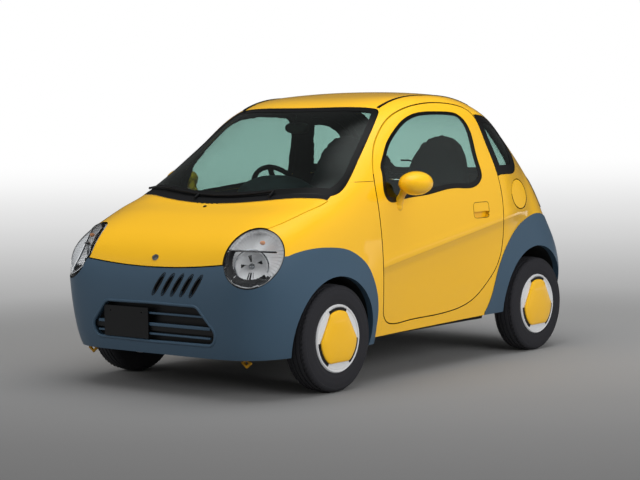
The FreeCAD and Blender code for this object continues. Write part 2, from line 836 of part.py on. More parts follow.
screen_side = [screen_side_place(share) for share in SCREEN_SIDE_SHARES]
screen_side.append(above(SCREEN_TOP_CORNER_X, ROOF_HALF))
screen_base = bow(SCREEN_BASE, SCREEN_CORNER_X, SCREEN_CORNER_Y)
screen_top = bow(SCREEN_TOP, SCREEN_TOP_CORNER_X, ROOF_HALF)
screen_room = plan_prism([
    arc_edge(screen_base), arc_edge(screen_top), smooth_edge(screen_side),
    smooth_edge(other_side(screen_side)),
])
cowl_front = bow(BONNET_REAR - SHUT_GAP, BONNET_CORNER_X - SHUT_GAP, BONNET_CORNER_Y)
cowl_end = [cowl_front[0], screen_base[0]]
cowl_room = plan_prism([
    arc_edge(cowl_front), arc_edge(screen_base), line_edge(*cowl_end), line_edge(*other_side(cowl_end)),
])
roof_corner = above(ROOF_REAR, ROOF_HALF)
roof_side = [screen_top[0], roof_corner]
roof_room = plan_prism([
    arc_edge(screen_top), line_edge(*roof_side), line_edge(*other_side(roof_side)),
    line_edge(roof_corner, other_side([roof_corner])[0]),
])


def hatch_room(gap, inset):
    """Return the room of the tailgate, seen from behind, from the roof's rear edge backwards."""
    half_top = ROOF_HALF + gap - inset
    half_low = HATCH_BOTTOM_HALF + gap - inset
    bottom = HATCH_BOTTOM - gap + inset
    points = [(half_top, SHELL_TOP), (half_top, HATCH_BEND_HEIGHT), (half_low, bottom)]
    points += [(-y, z) for y, z in reversed(points)]
    wire = Part.makePolygon([Vector(-LENGTH, y, z) for y, z in points + points[:1]])
    room = Part.Face(wire).extrude(Vector(LENGTH + ROOF_REAR + gap - inset, 0, 0))
    low_edges = [
        e for e in room.Edges
        if abs(e.Vertexes[0].Z - bottom) < SEAT_GAP and abs(e.Vertexes[-1].Z - bottom) < SEAT_GAP
        and abs(e.Vertexes[0].Y - e.Vertexes[-1].Y) < SEAT_GAP
    ]
    return room.makeFillet(HATCH_CORNER, low_edges)


hatch_space = hatch_room(SHUT_GAP, 0.0)

# Outer panels
nose_rise = [
    Vector(NOSE_EDGE_BACK, -NOSE_EDGE_HALF, NOSE_EDGE_HEIGHT + NOSE_EDGE_RISE),
    Vector(NOSE_EDGE_BACK, 0, NOSE_EDGE_HEIGHT),
    Vector(NOSE_EDGE_BACK, NOSE_EDGE_HALF, NOSE_EDGE_HEIGHT + NOSE_EDGE_RISE),
]


def above_nose_edge(drop):
    """Return the room above the bonnet's curved front edge, lowered by a gap."""
    low = [p - Vector(0, 0, drop) for p in nose_rise]
    left = Vector(NOSE_EDGE_BACK, NOSE_EDGE_HALF, HEIGHT)
    right = Vector(NOSE_EDGE_BACK, -NOSE_EDGE_HALF, HEIGHT)
    wire = Part.Wire(Part.__sortEdges__([
        arc_edge(low), line_edge(low[-1], left), line_edge(left, right), line_edge(right, low[0]),
    ]))
    return Part.Face(wire).extrude(Vector(LENGTH, 0, 0))


bonnet_behind_nose = block(0, NOSE_EDGE_BACK, -WIDTH, WIDTH, BELT_HEIGHT / 2, SHELL_TOP)
wide_nose = block(
    NOSE_EDGE_BACK, LENGTH, -WIDTH, WIDTH, NOSE_EDGE_HEIGHT + NOSE_EDGE_RISE, SHELL_TOP
)
bonnet_height = above_nose_edge(0.0).fuse(bonnet_behind_nose).fuse(wide_nose)
bonnet = main_solid(panel_shell.common(bonnet_room(0.0)).common(bonnet_height).cut(headlamp_gap))
save("bonnet", bonnet)
bonnet_space = bonnet_room(SHUT_GAP)

nose_space = above_nose_edge(SHUT_GAP)
bonnet_height_space = nose_space.fuse(bonnet_behind_nose)
wide_nose_space = block(
    NOSE_EDGE_BACK, LENGTH, -WIDTH, WIDTH, NOSE_EDGE_HEIGHT + NOSE_EDGE_RISE - SHUT_GAP, SHELL_TOP
).common(bonnet_space)
intake_points = [
    (INTAKE_TOP_HALF, INTAKE_TOP), (INTAKE_HALF, INTAKE_SHOULDER), (INTAKE_LOW_HALF, INTAKE_BOTTOM),
]
intake_points += [(-y, z) for y, z in reversed(intake_points)]
intake_wire = Part.makePolygon([Vector(0, y, z) for y, z in intake_points + intake_points[:1]])
intake_room = Part.Face(intake_wire).extrude(Vector(LENGTH, 0, 0))
intake_corners = [e for e in intake_room.Edges if e.Length > LENGTH - SHUT_GAP]
intake_room = intake_room.makeFillet(INTAKE_ROUND, intake_corners)


def slot_room(number):
    """Return one of the slanted, leaf-shaped slots above the intake."""
    foot = Vector(SLOT_BACK, SLOT_FIRST + number * SLOT_PITCH, SLOT_BOTTOM)
    tip = Vector(SLOT_BACK, foot.y + SLOT_LEAN, SLOT_TOP)
    middle = (foot + tip) * 0.5
    aside = Vector(0, SLOT_WIDTH / 2, 0)
    leaf = Part.Wire([arc_edge([foot, middle + aside, tip]), arc_edge([tip, middle - aside, foot])])
    return Part.Face(leaf).extrude(Vector(LENGTH, 0, 0))


front_bumper = bumper_shell.common(front_bumper_room)
front_bumper = without(
    front_bumper, nose_space, wide_nose_space, headlamp_seat, front_arches, intake_room
)
front_bumper = without(front_bumper, *[slot_room(i) for i in range(SLOT_COUNT)])
front_bumper = main_solid(front_bumper)
save("front_bumper", front_bumper)

plate_recess = block(
    -LENGTH, REAR_BOARD_FACE + BOARD_WALL, -BOARD_WIDTH / 2 - SHUT_GAP, BOARD_WIDTH / 2 + SHUT_GAP,
    REAR_BOARD_HEIGHT - BOARD_TALL / 2 - SHUT_GAP, REAR_BOARD_HEIGHT + BOARD_TALL / 2 + SHUT_GAP,
)
rear_foot_room = above_sill(rear_axle, 0).fuse(block(-LENGTH, rear_axle, -WIDTH, WIDTH, 0, HEIGHT))
rear_bumper = without(bumper_shell.common(rear_bumper_room), rear_arches, plate_recess)
rear_bumper = main_solid(rear_bumper.common(rear_foot_room))
save("rear_bumper", rear_bumper)

front_bumper_space = full_width(grown(front_flare_outline, SEAT_GAP))
rear_bumper_space = full_width(grown(rear_flare_outline, SEAT_GAP))
fender_region = block(FENDER_REAR, LENGTH, 0, WIDTH, 0, FENDER_SEAM_HEIGHT)
fender = panel_shell.common(fender_region).common(above_sill(FENDER_REAR, LENGTH))
fender = without(
    fender, front_bumper_space, bonnet_space, cowl_room, screen_room, headlamp_seat, door_room,
    front_arches,
)
fender_left = main_solid(fender)
save("fender_left", fender_left)
save("fender_right", mirrored(fender_left))

cowl_panel = main_solid(panel_shell.common(cowl_room))

windscreen = main_solid(glass_shell.common(screen_room))
save("windscreen", windscreen)

roof = main_solid(panel_shell.common(roof_room).cut(hatch_space).common(block(
    ROOF_REAR, LENGTH, -WIDTH, WIDTH, BELT_HEIGHT, SHELL_TOP
)))
save("roof", roof)

# Body side: sill, pillars and rear quarter in one pressing
side_region = block(-LENGTH, FENDER_REAR - SEAT_GAP, 0, WIDTH, 0, SHELL_TOP).fuse(
    block(0, LENGTH, 0, WIDTH, FENDER_SEAM_HEIGHT + SEAT_GAP, SHELL_TOP)
)
roof_space = roof_room.common(block(-LENGTH, LENGTH, -WIDTH, WIDTH, BELT_HEIGHT, SHELL_TOP))
rear_panel_region = block(
    -LENGTH, REAR_PANEL_FRONT, -REAR_PANEL_HALF, REAR_PANEL_HALF, REAR_ARCH_HEIGHT,
    HATCH_BOTTOM + HATCH_CORNER,
)
side_pressing = side_shell.common(side_region).common(above_sill(-LENGTH, LENGTH))
side_pressing = main_solid(without(
    side_pressing, door_room, quarter_prism, rear_bumper_space, roof_space, screen_room, hatch_space,
    tail_lamp_rooms, rear_panel_region, rear_arches,
))
lid_bowl = across_cylinder(
    LID_X, LID_HEIGHT, LID_RADIUS + SHUT_GAP + LID_WALL, LID_POCKET_Y - LID_WALL, WIDTH
).common(outer_body).cut(tail_lamp_rooms)
lid_room = across_cylinder(LID_X, LID_HEIGHT, LID_RADIUS + SHUT_GAP, LID_POCKET_Y, WIDTH)
lid_stop = across_cylinder(LID_X, LID_HEIGHT, LID_RADIUS - LID_WALL, LID_POCKET_Y, WIDTH).cut(
    across_cylinder(LID_X, LID_HEIGHT, LID_RADIUS - LID_WALL * 2, LID_POCKET_Y, WIDTH)
).common(skin_solid(LID_WALL + SEAT_GAP))
body_side_left = side_pressing.fuse(lid_bowl).cut(lid_room).fuse(lid_stop).removeSplitter()
save("body_side_left", main_solid(body_side_left))
save("body_side_right", mirrored(side_pressing))

rear_panel = without(side_shell.common(rear_panel_region), hatch_space, rear_bumper_space, tail_lamp_rooms)
hatch_rest = skin_solid(PANEL_WALL + SEAT_GAP).cut(inside_sides).common(block(
    -LENGTH, REAR_PANEL_FRONT, -REAR_PANEL_HALF / 2, REAR_PANEL_HALF / 2, BELT_HEIGHT - REST_DEPTH,
    HATCH_BOTTOM + REST_DEPTH,
))
rear_panel = main_solid(rear_panel.fuse(hatch_rest).removeSplitter())
save("rear_panel", rear_panel)

# Doors with their glass
handle_cup = block(
    HANDLE_FRONT - HANDLE_LENGTH, HANDLE_FRONT, half_width / 2, WIDTH, HANDLE_BOTTOM,
    HANDLE_BOTTOM + HANDLE_HEIGHT,
)
handle_cup = handle_cup.makeFillet(HANDLE_ROUND, [e for e in handle_cup.Edges if e.Length > half_width])
flap_room = block(
    -LENGTH, 0, 0, WIDTH, HANDLE_BOTTOM + HANDLE_HEIGHT - FLAP_HEIGHT, HANDLE_BOTTOM + HANDLE_HEIGHT
)
flap = handle_cup.common(flap_room).common(outer_body).cut(skin_solid(FLAP_WALL))
door = side_shell.common(door_prism).cut(window_prism).cut(handle_cup.cut(skin_solid(HANDLE_DEPTH)))
door_left = main_solid(door.fuse(flap).removeSplitter())
save("door_left", door_left)
save("door_right", mirrored(door_left))
door_glass_left = main_solid(glass_shell.common(window_prism))
save("door_glass_left", door_glass_left)
save("door_glass_right", mirrored(door_glass_left))
quarter_window = main_solid(glass_shell.common(quarter_prism).cut(door_room))
save("quarter_windows", Part.makeCompound([quarter_window, mirrored(quarter_window)]))

# Tailgate: a frame with its glass
hatch_outer = hatch_room(0.0, 0.0)
hatch_hole = hatch_room(0.0, HATCH_FRAME)
hatch_frame = main_solid(panel_shell.common(hatch_outer).cut(hatch_hole))
save("hatch_frame", hatch_frame)
hatch_glass = main_solid(glass_shell.common(hatch_hole))
save("hatch_glass", hatch_glass)

# Lamps
headlamp = main_solid(side_shell.common(headlamp_room))
save("headlamps", Part.makeCompound([headlamp, mirrored(headlamp)]))
tail_lamp = main_solid(side_shell.common(tail_lamp_room))
save("tail_lamps", Part.makeCompound([tail_lamp, mirrored(tail_lamp)]))


# Wheels: the parts are made about an axle along y and carried to their places
def turned(points):
    """Return the ring that a closed outline of (radius, across) points makes about the y axis."""
    wire = Part.makePolygon([Vector(r, y, 0) for r, y in points + points[:1]])
    return Part.Face(wire).revolve(Vector(), Vector(0, 1, 0), 360)


# The tyre's section as shares of its half width: at the bead, at the lip and above it, then up the sidewall
# as shares of the section's height too
BEAD_SHARE = 0.77
LIP_SHARE = 0.835
ABOVE_LIP_SHARE = 0.90
SIDEWALL_SHARES = [(0.38, 0.985), (0.55, 1.0), (0.72, 0.965), (0.87, 0.88), (0.955, 0.74)]


def make_tyre():
    half = TYRE_WIDTH / 2
    wall = [(RIM_RADIUS, BEAD_SHARE), (RIM_LIP, LIP_SHARE), (RIM_LIP + RIM_WALL, ABOVE_LIP_SHARE)]
    sidewall = [Vector(r, half * share, 0) for r, share in wall]
    height = TYRE_RADIUS - RIM_RADIUS
    sidewall += [Vector(RIM_RADIUS + height * up, half * share, 0) for up, share in SIDEWALL_SHARES]
    inner_side = [Vector(p.x, -p.y, 0) for p in sidewall]
    crown = Vector(TYRE_RADIUS, 0, 0)
    edges = [
        smooth_edge(sidewall), smooth_edge(inner_side), arc_edge([sidewall[-1], crown, inner_side[-1]]),
        line_edge(sidewall[0], inner_side[0]),
    ]
    face = Part.Face(Part.Wire(Part.__sortEdges__(edges)))
    return face.revolve(Vector(), Vector(0, 1, 0), 360)


def make_wheel():
    """Return the wheel: a dish from the hub to a well that carries the tyre's beads between two lips."""
    half = TYRE_WIDTH / 2
    seat = half * BEAD_SHARE
    well = RIM_RADIUS - RIM_WALL
    lip_inside = half * LIP_SHARE + SEAT_GAP
    lip_outside = lip_inside + RIM_WALL / 3
    bore = SPINDLE_RADIUS + SEAT_GAP
    bore_end = WHEEL_FACE - CAP_WALL * 2
    points = [
        (0, WHEEL_FACE), (0, bore_end), (bore, bore_end), (bore, WHEEL_HUB_BACK),
        (WHEEL_HUB_RADIUS, WHEEL_HUB_BACK), (WHEEL_HUB_RADIUS + RIM_WALL, seat / 2),
        (well - RIM_WALL / 2, seat - RIM_WALL), (well, -seat), (RIM_LIP - RIM_WALL / 2, -lip_outside),
        (RIM_LIP, -lip_outside), (RIM_LIP, -lip_inside), (RIM_RADIUS - SEAT_GAP, -seat),
        (RIM_RADIUS - SEAT_GAP, seat), (RIM_LIP, lip_inside), (RIM_LIP, lip_outside),
        (RIM_RADIUS - RIM_WALL / 2, WHEEL_FACE),
    ]
    return turned(points)


def make_cap():
    """Return the cap: a triangle whose tips are cut off by one circle, with one tip up."""
    arcs = []
    for tip in range(CAP_TIPS):
        turns = [math.tau * tip / CAP_TIPS + math.radians(CAP_TIP_HALF) * way for way in (-1, 0, 1)]
        arcs.append([
            Vector(CAP_TIP_RADIUS * math.sin(turn), WHEEL_FACE, CAP_TIP_RADIUS * math.cos(turn))
            for turn in turns
        ])
    edges = [arc_edge(arc) for arc in arcs]
    edges += [line_edge(arc[-1], following[0]) for arc, following in zip(arcs, arcs[1:] + arcs[:1])]
    plate = Part.Face(Part.Wire(Part.__sortEdges__(edges))).extrude(Vector(0, CAP_WALL, 0))
    corners = [e for e in plate.Edges if e.BoundBox.YLength > CAP_WALL / 2]
    plate = plate.makeFillet(CAP_ROUND, corners)
    face_edges = [e for e in plate.Edges if e.BoundBox.YMin > WHEEL_FACE + CAP_WALL / 2]
    return plate.makeFillet(CAP_WALL / 2, face_edges)


tyre = make_tyre()
wheel = make_wheel()
cap = make_cap()
half_front_track = FRONT_TRACK / 2
half_rear_track = REAR_TRACK / 2
WHEEL_PLACES = [
    ("front_left", front_axle, half_front_track, False),
    ("front_right", front_axle, half_front_track, True),
    ("rear_left", rear_axle, half_rear_track, False),
    ("rear_right", rear_axle, half_rear_track, True),
]
for place, axle, across, is_right in WHEEL_PLACES:
    for name, piece in (("tyre", tyre), ("wheel", wheel), ("hubcap", cap)):
        put = piece.translated(Vector(axle, across, TYRE_RADIUS))
        if is_right:
            put = mirrored(put)
        save(name + "_" + place, put)

# Front knuckles, each with its strut, on the leaning steering axis
ball = Vector(front_axle, BALL_ACROSS, BALL_HEIGHT)
strut_top = Vector(front_axle, STRUT_TOP_ACROSS, STRUT_TOP_HEIGHT)
steer_axis = (strut_top - ball).normalize()
hub_back = half_front_track + WHEEL_HUB_BACK - SEAT_GAP


def rod(start, end, radius):
    return Part.makeCylinder(radius, (end - start).Length, start, end - start)


carrier = across_cylinder(front_axle, TYRE_RADIUS, CARRIER_RADIUS, hub_back - CARRIER_LENGTH, hub_back)
spindle_end = half_front_track + WHEEL_FACE - CAP_WALL * 2 - SEAT_GAP
spindle = across_cylinder(front_axle, TYRE_RADIUS, SPINDLE_RADIUS, hub_back - SPINDLE_RADIUS, spindle_end)
strut_foot = ball + steer_axis * (TYRE_RADIUS - BALL_HEIGHT)
upright = rod(ball, strut_foot, UPRIGHT_RADIUS)
strut = rod(strut_foot, strut_top, STRUT_RADIUS)
spring_top = strut_top - steer_axis * BALL_RADIUS
spring = rod(spring_top - steer_axis * SPRING_LENGTH, spring_top, SPRING_RADIUS)
knuckle = carrier.fuse([spindle, upright, strut, spring, Part.makeSphere(BALL_RADIUS, ball)]).removeSplitter()
save("knuckle_left", knuckle)
save("knuckle_right", mirrored(knuckle))

# Front subframe with the lower arms, which hold the knuckles' balls
arm_pivot = Vector(front_axle, ARM_PIVOT_ACROSS, BALL_HEIGHT)
arm_end = ball + Vector(0, BALL_RADIUS / 2, 0)
arm = rod(arm_pivot, arm_end, ARM_RADIUS)
brace_pivot = arm_pivot - Vector(ARM_BRACE_BACK, 0, 0)
arm_brace = rod(brace_pivot, arm_end - Vector(0, BALL_RADIUS * 2, 0), ARM_RADIUS / 2)
socket = Part.makeSphere(BALL_RADIUS + SEAT_GAP, ball)
upright_room = rod(ball, strut_foot, STRUT_RADIUS)
arms = both_sides(arm.fuse(arm_brace).cut(socket).cut(upright_room))
subframe_top = BALL_HEIGHT + SUBFRAME_HEIGHT
cross = block(
    front_axle - SUBFRAME_BACK, front_axle + SUBFRAME_LENGTH / 2, -ARM_PIVOT_ACROSS - ARM_RADIUS,
    ARM_PIVOT_ACROSS + ARM_RADIUS, BALL_HEIGHT - ARM_RADIUS, subframe_top,
)
legs_back = block(
    front_axle - LEGS_BACK, front_axle - SUBFRAME_LENGTH / 2, ARM_PIVOT_ACROSS - SUBFRAME_HEIGHT,
    ARM_PIVOT_ACROSS + ARM_RADIUS, BALL_HEIGHT - ARM_RADIUS, FLOOR_BOTTOM - SEAT_GAP,
)
save("front_subframe", main_solid(arms.fuse([cross, both_sides(legs_back)]).removeSplitter()))

# Rear axle: beam, trailing arms, stub hubs and springs
beam_x = rear_axle - BEAM_BEHIND
beam = across_cylinder(beam_x, TYRE_RADIUS, BEAM_RADIUS, -BEAM_HALF, BEAM_HALF)
rear_hub_back = half_rear_track + WHEEL_HUB_BACK - SEAT_GAP
rear_carrier = across_cylinder(rear_axle, TYRE_RADIUS, CARRIER_RADIUS, TRAILING_ACROSS, rear_hub_back)
rear_spindle_end = half_rear_track + WHEEL_FACE - CAP_WALL * 2 - SEAT_GAP
rear_spindle = across_cylinder(rear_axle, TYRE_RADIUS, SPINDLE_RADIUS, TRAILING_ACROSS, rear_spindle_end)
trailing = block(
    beam_x - BEAM_RADIUS, TRAILING_PIVOT_X, TRAILING_ACROSS - TRAILING_WIDTH / 2,
    TRAILING_ACROSS + TRAILING_WIDTH / 2, TYRE_RADIUS - TRAILING_HEIGHT / 2,
    TYRE_RADIUS + TRAILING_HEIGHT / 2,
)
rear_spring = rod(
    Vector(beam_x, REAR_SPRING_ACROSS, TYRE_RADIUS), Vector(beam_x, REAR_SPRING_ACROSS, REAR_FLOOR_BOTTOM),
    SPRING_RADIUS,
)
pivot_bracket = block(
    TRAILING_PIVOT_X - TRAILING_HEIGHT, TRAILING_PIVOT_X, TRAILING_ACROSS - TRAILING_WIDTH / 2,
    TRAILING_ACROSS + TRAILING_WIDTH / 2, TYRE_RADIUS, REAR_FLOOR_BOTTOM,
)
rear_half = rear_carrier.fuse([rear_spindle, trailing, rear_spring, pivot_bracket])
rear_axle_solid = beam.fuse([rear_half, mirrored(rear_half)]).removeSplitter()
save("rear_axle", main_solid(rear_axle_solid))

# Floor, wheel housings and the lining of the luggage space
def both_largest(shape):
    """Return the largest solid on each side of the body."""
    sides = [[solid for solid in shape.Solids if solid.CenterOfMass.y * way > 0] for way in (1, -1)]
    return Part.makeCompound([max(solids, key=lambda solid: solid.Volume) for solids in sides])


def housing(axle_x, height, radius, tower):
    """Return the left wheel housing's outside and inside."""
    inner = HOUSING_INNER - HOUSING_WALL
    drum = across_cylinder(axle_x, height, radius + HOUSING_WALL, inner, half_width)
    outside = drum.common(block(-LENGTH, LENGTH, 0, WIDTH, HOUSING_BOTTOM, HEIGHT))
    inside = across_cylinder(axle_x, height, radius, HOUSING_INNER, WIDTH)
    if tower:
        foot = ball + steer_axis * (STRUT_TOP_HEIGHT / 2)
        top = strut_top + steer_axis * TOWER_TOP_WALL
        toe_wall = drum.common(block(-LENGTH, BULKHEAD_X, 0, WIDTH, FLOOR_BOTTOM, HOUSING_BOTTOM))
        outside = outside.fuse([toe_wall, rod(foot, top, TOWER_RADIUS + HOUSING_WALL)])
        inside = inside.fuse(rod(foot, strut_top + steer_axis * SEAT_GAP, TOWER_RADIUS))
    return outside, inside


front_outside, front_inside = housing(front_axle, FRONT_ARCH_HEIGHT, FRONT_ARCH_RADIUS, True)
rear_outside, rear_inside = housing(rear_arch_x, REAR_ARCH_HEIGHT, REAR_ARCH_RADIUS, False)
floor_top = FLOOR_BOTTOM + FLOOR_WALL
rear_floor_top = REAR_FLOOR_BOTTOM + REAR_FLOOR_WALL
main_floor = block(HEEL_X, BULKHEAD_X, -WIDTH, WIDTH, FLOOR_BOTTOM, floor_top)
heel = block(HEEL_X - FLOOR_WALL, HEEL_X, -WIDTH, WIDTH, FLOOR_BOTTOM, rear_floor_top)
rear_floor = block(-LENGTH, HEEL_X, -WIDTH, WIDTH, REAR_FLOOR_BOTTOM, rear_floor_top)
bulkhead_front = BULKHEAD_X + BULKHEAD_WALL
bulkhead = block(BULKHEAD_X, bulkhead_front, -WIDTH, WIDTH, FLOOR_BOTTOM, PLENUM_BOTTOM + RIM_WALL)
rails = both_sides(block(BULKHEAD_X, LENGTH, RAIL_INNER, RAIL_OUTER, RAIL_BOTTOM, RAIL_TOP))
slam_panel = block(
    SLAM_PANEL_BACK, LENGTH, -SLAM_PANEL_HALF, SLAM_PANEL_HALF, SLAM_PANEL_BOTTOM, SLAM_PANEL_TOP
)
slam_posts = both_sides(
    block(SLAM_PANEL_BACK, SLAM_PANEL_BACK + FLOOR_WALL, RAIL_INNER, RAIL_OUTER, RAIL_TOP, SLAM_PANEL_TOP)
)
lining = inside_sides.cut(skin_solid(SIDE_WALL + LINING_WALL)).common(
    block(-LENGTH, LINING_FRONT, -WIDTH, WIDTH, rear_floor_top, LINING_TOP)
)
# Flange behind each door, on which its lower seal rests
jamb = skin_solid(SIDE_WALL + SEAT_GAP).cut(skin_solid(SIDE_WALL + LINING_WALL)).common(
    block(-JAMB_HALF, JAMB_HALF, -WIDTH, WIDTH, FLOOR_BOTTOM, JAMB_TOP)
)
tubs = both_sides(front_outside.fuse(rear_outside)).common(inside_panels).common(above_underside)
wheel_rooms = both_sides(front_inside.fuse(rear_inside))
door_swing_room = both_sides(door_room.cut(skin_solid(SIDE_WALL + SEAT_GAP)))
floor_pan = main_floor.fuse([heel, rear_floor]).common(inside_sides).fuse(jamb)
save("floor_pan", main_solid(without(floor_pan, tubs, wheel_rooms, bulkhead).removeSplitter()))
opening_bonnet_room = bonnet_space.common(bonnet_height_space)
front_housings = both_sides(front_outside).common(inside_panels).common(above_underside)
front_housings = without(
    front_housings, both_sides(front_inside), headlamp_seat, door_swing_room, opening_bonnet_room
)
save("front_housings", both_largest(front_housings))
rear_housings = both_sides(rear_outside).common(inside_panels).common(above_underside)
save("rear_housings", both_largest(rear_housings.cut(both_sides(rear_inside))))
save("rear_lining", main_solid(without(lining, tubs)))

# Bulkhead, plenum, rails and the panel that the bonnet closes on
rail_frame = rails.fuse([slam_panel, slam_posts]).common(inside_panels)
plenum = inside_panels.common(screen_room.fuse(cowl_room)).common(
    block(
        BULKHEAD_X, BONNET_REAR, -BONNET_CORNER_Y, BONNET_CORNER_Y, PLENUM_BOTTOM, BELT_HEIGHT + SIDE_WALL
    )
)
bulkhead_sides = block(
    BULKHEAD_X, bulkhead_front, -WIDTH, WIDTH, FLOOR_BOTTOM, BELT_HEIGHT
).common(inside_panels)
bonnet_stops = both_sides(block(
    SLAM_PANEL_BACK, SLAM_PANEL_BACK + FLOOR_WALL, STOP_ACROSS - FLOOR_WALL / 2,
    STOP_ACROSS + FLOOR_WALL / 2, SLAM_PANEL_TOP - FLOOR_WALL, BELT_HEIGHT,
)).common(skin_solid(PANEL_WALL + SEAT_GAP))
front_frame = bulkhead.common(inside_sides).fuse([rail_frame, plenum, bulkhead_sides])
front_frame = without(
    front_frame, tubs, wheel_rooms, headlamp_seat, door_swing_room, opening_bonnet_room
)
front_frame = main_solid(front_frame.fuse(bonnet_stops).removeSplitter())
save("front_frame", front_frame)

# Heavy masses under the bonnet and the floor
engine = block(ENGINE_BACK, ENGINE_FRONT, -ENGINE_HALF, ENGINE_HALF, subframe_top + SEAT_GAP, ENGINE_TOP)
save("engine", engine)
tank = block(TANK_BACK, TANK_FRONT, -TANK_HALF, TANK_HALF, TANK_BOTTOM, FLOOR_BOTTOM)
tank = tank.makeFillet((FLOOR_BOTTOM - TANK_BOTTOM) / 4, tank.Edges)
save("fuel_tank", tank)

# Seats
def seat_outline():
    """Return the seat's side view: cushion, then the leaning back."""
    cushion_top = SEAT_BOTTOM + SEAT_THICKNESS
    back_foot = SEAT_FRONT - SEAT_LENGTH
    back_top_x = back_foot - BACK_LEAN
    return [
        Vector(SEAT_FRONT, 0, SEAT_BOTTOM), Vector(SEAT_FRONT, 0, cushion_top + SEAT_ROUND / 2),
        Vector(back_foot, 0, cushion_top - SEAT_ROUND / 2), Vector(back_top_x, 0, BACK_TOP),
        Vector(back_top_x - BACK_THICKNESS, 0, BACK_TOP - SEAT_ROUND / 2),
        Vector(back_foot - BACK_THICKNESS, 0, SEAT_BOTTOM),
    ]


seat = prism([[p] for p in seat_outline()], Vector(0, SEAT_WIDTH, 0))
seat = seat.translated(Vector(0, SEAT_ACROSS - SEAT_WIDTH / 2, 0))
seat = seat.makeFillet(SEAT_ROUND, seat.Edges)
seat_base = block(
    SEAT_FRONT - SEAT_LENGTH, SEAT_FRONT - SEAT_ROUND, SEAT_ACROSS - SEAT_BASE_WIDTH / 2,
    SEAT_ACROSS + SEAT_BASE_WIDTH / 2, FLOOR_BOTTOM + FLOOR_WALL, SEAT_BOTTOM + SEAT_ROUND,
)
seat_left = main_solid(seat.fuse(seat_base))
save("seat_left", seat_left)
save("seat_right", mirrored(seat_left))

# Dashboard with the steering column
dash_rear = BULKHEAD_X - DASH_DEPTH
# The dashboard's side view in runs, as shares of its depth from the rear and of its height from the foot
DASH_SHARES = [
    [(1.0, 0.0)], [(1.0, 1.0)], [(0.5, 1.0), (0.2, 0.928)], [(0.0, 0.798), (0.111, 0.425)], [(0.5, 0.0)],
]


def dash_place(share):
    height = DASH_BOTTOM + share[1] * (DASH_TOP - DASH_BOTTOM)
    return Vector(dash_rear + share[0] * DASH_DEPTH, -DASH_HALF, height)


dash = prism([[dash_place(share) for share in run] for run in DASH_SHARES], Vector(0, DASH_HALF * 2, 0))
steer_centre = Vector(STEER_X, STEER_ACROSS, STEER_HEIGHT)
column_way = Vector(math.cos(math.radians(STEER_LEAN)), 0, -math.sin(math.radians(STEER_LEAN)))
column_start = steer_centre + column_way * (STEER_HUB_LENGTH + SEAT_GAP)
column_reach = (BULKHEAD_X - SIDE_WALL - column_start.x) / column_way.x
column = rod(column_start, column_start + column_way * column_reach, COLUMN_RADIUS)
dashboard = dash.common(inside_panels).fuse(column).removeSplitter()
save("dashboard", main_solid(dashboard))

# Steering wheel
rim = Part.makeTorus(STEER_RADIUS, STEER_RIM)
hub = Part.makeCylinder(STEER_HUB_RADIUS, STEER_HUB_LENGTH)
spokes = block(-STEER_RADIUS, STEER_RADIUS, -STEER_RIM, STEER_RIM, -STEER_RIM / 2, STEER_RIM / 2).fuse(
    block(-STEER_RADIUS, 0, -STEER_RIM, STEER_RIM, -STEER_RIM / 2, STEER_RIM / 2).rotated(
        Vector(), Vector(0, 0, 1), 90
    )
)
steering_wheel = rim.fuse([hub, spokes])
turn_down = Rotation(Vector(0, 0, 1), column_way)
steering_wheel.Placement = Placement(steer_centre, turn_down)
save("steering_wheel", steering_wheel)

# Door mirrors, carried by the doors
POD_LENGTH_SHARES = [-0.63, -0.35, 0.0, 0.35, 0.62, 0.82, 0.94, 0.99]


def pod_ring(share):
    """Return the ellipse round the mirror's pod at a share of its half length from its middle."""
    narrowing = math.sqrt(1 - share ** 2)
    centre = Vector(POD_X + POD_HALF_LENGTH * share, POD_ACROSS, POD_HEIGHT)
    side = centre + Vector(0, POD_HALF_WIDTH * narrowing, 0)
    crown = centre + Vector(0, 0, POD_HALF_HEIGHT * narrowing)
    return Part.Wire([Part.Ellipse(side, crown, centre).toShape()])


pod = Part.makeLoft([pod_ring(share) for share in POD_LENGTH_SHARES], True)
pod_foot = Vector(POD_FOOT_X, POD_FOOT_ACROSS, POD_FOOT_HEIGHT)
pod_way = (Vector(POD_X, POD_NECK_ACROSS, POD_HEIGHT) - pod_foot) * 0.5
foot_cone = Part.makeCone(POD_FOOT_RADIUS, POD_NECK_RADIUS, pod_way.Length, pod_foot, pod_way)
neck_cone = Part.makeCone(POD_NECK_RADIUS, POD_FOOT_RADIUS, pod_way.Length, pod_foot + pod_way, pod_way)
foot_cone = main_solid(without(foot_cone, door_left, door_glass_left))
mirror_left = main_solid(pod.fuse([foot_cone, neck_cone]).removeSplitter())
save("mirror_left", mirror_left)
save("mirror_right", mirrored(mirror_left))

# Fuel lid and the filler cap behind it
lid_shell = outer_body.cut(skin_solid(LID_WALL))
lid = main_solid(lid_shell.common(across_cylinder(LID_X, LID_HEIGHT, LID_RADIUS, LID_POCKET_Y, WIDTH)))
save("fuel_lid", lid)
save("filler_cap", across_cylinder(
    LID_X, LID_HEIGHT, FILLER_RADIUS, LID_POCKET_Y, LID_POCKET_Y + FILLER_LENGTH
))

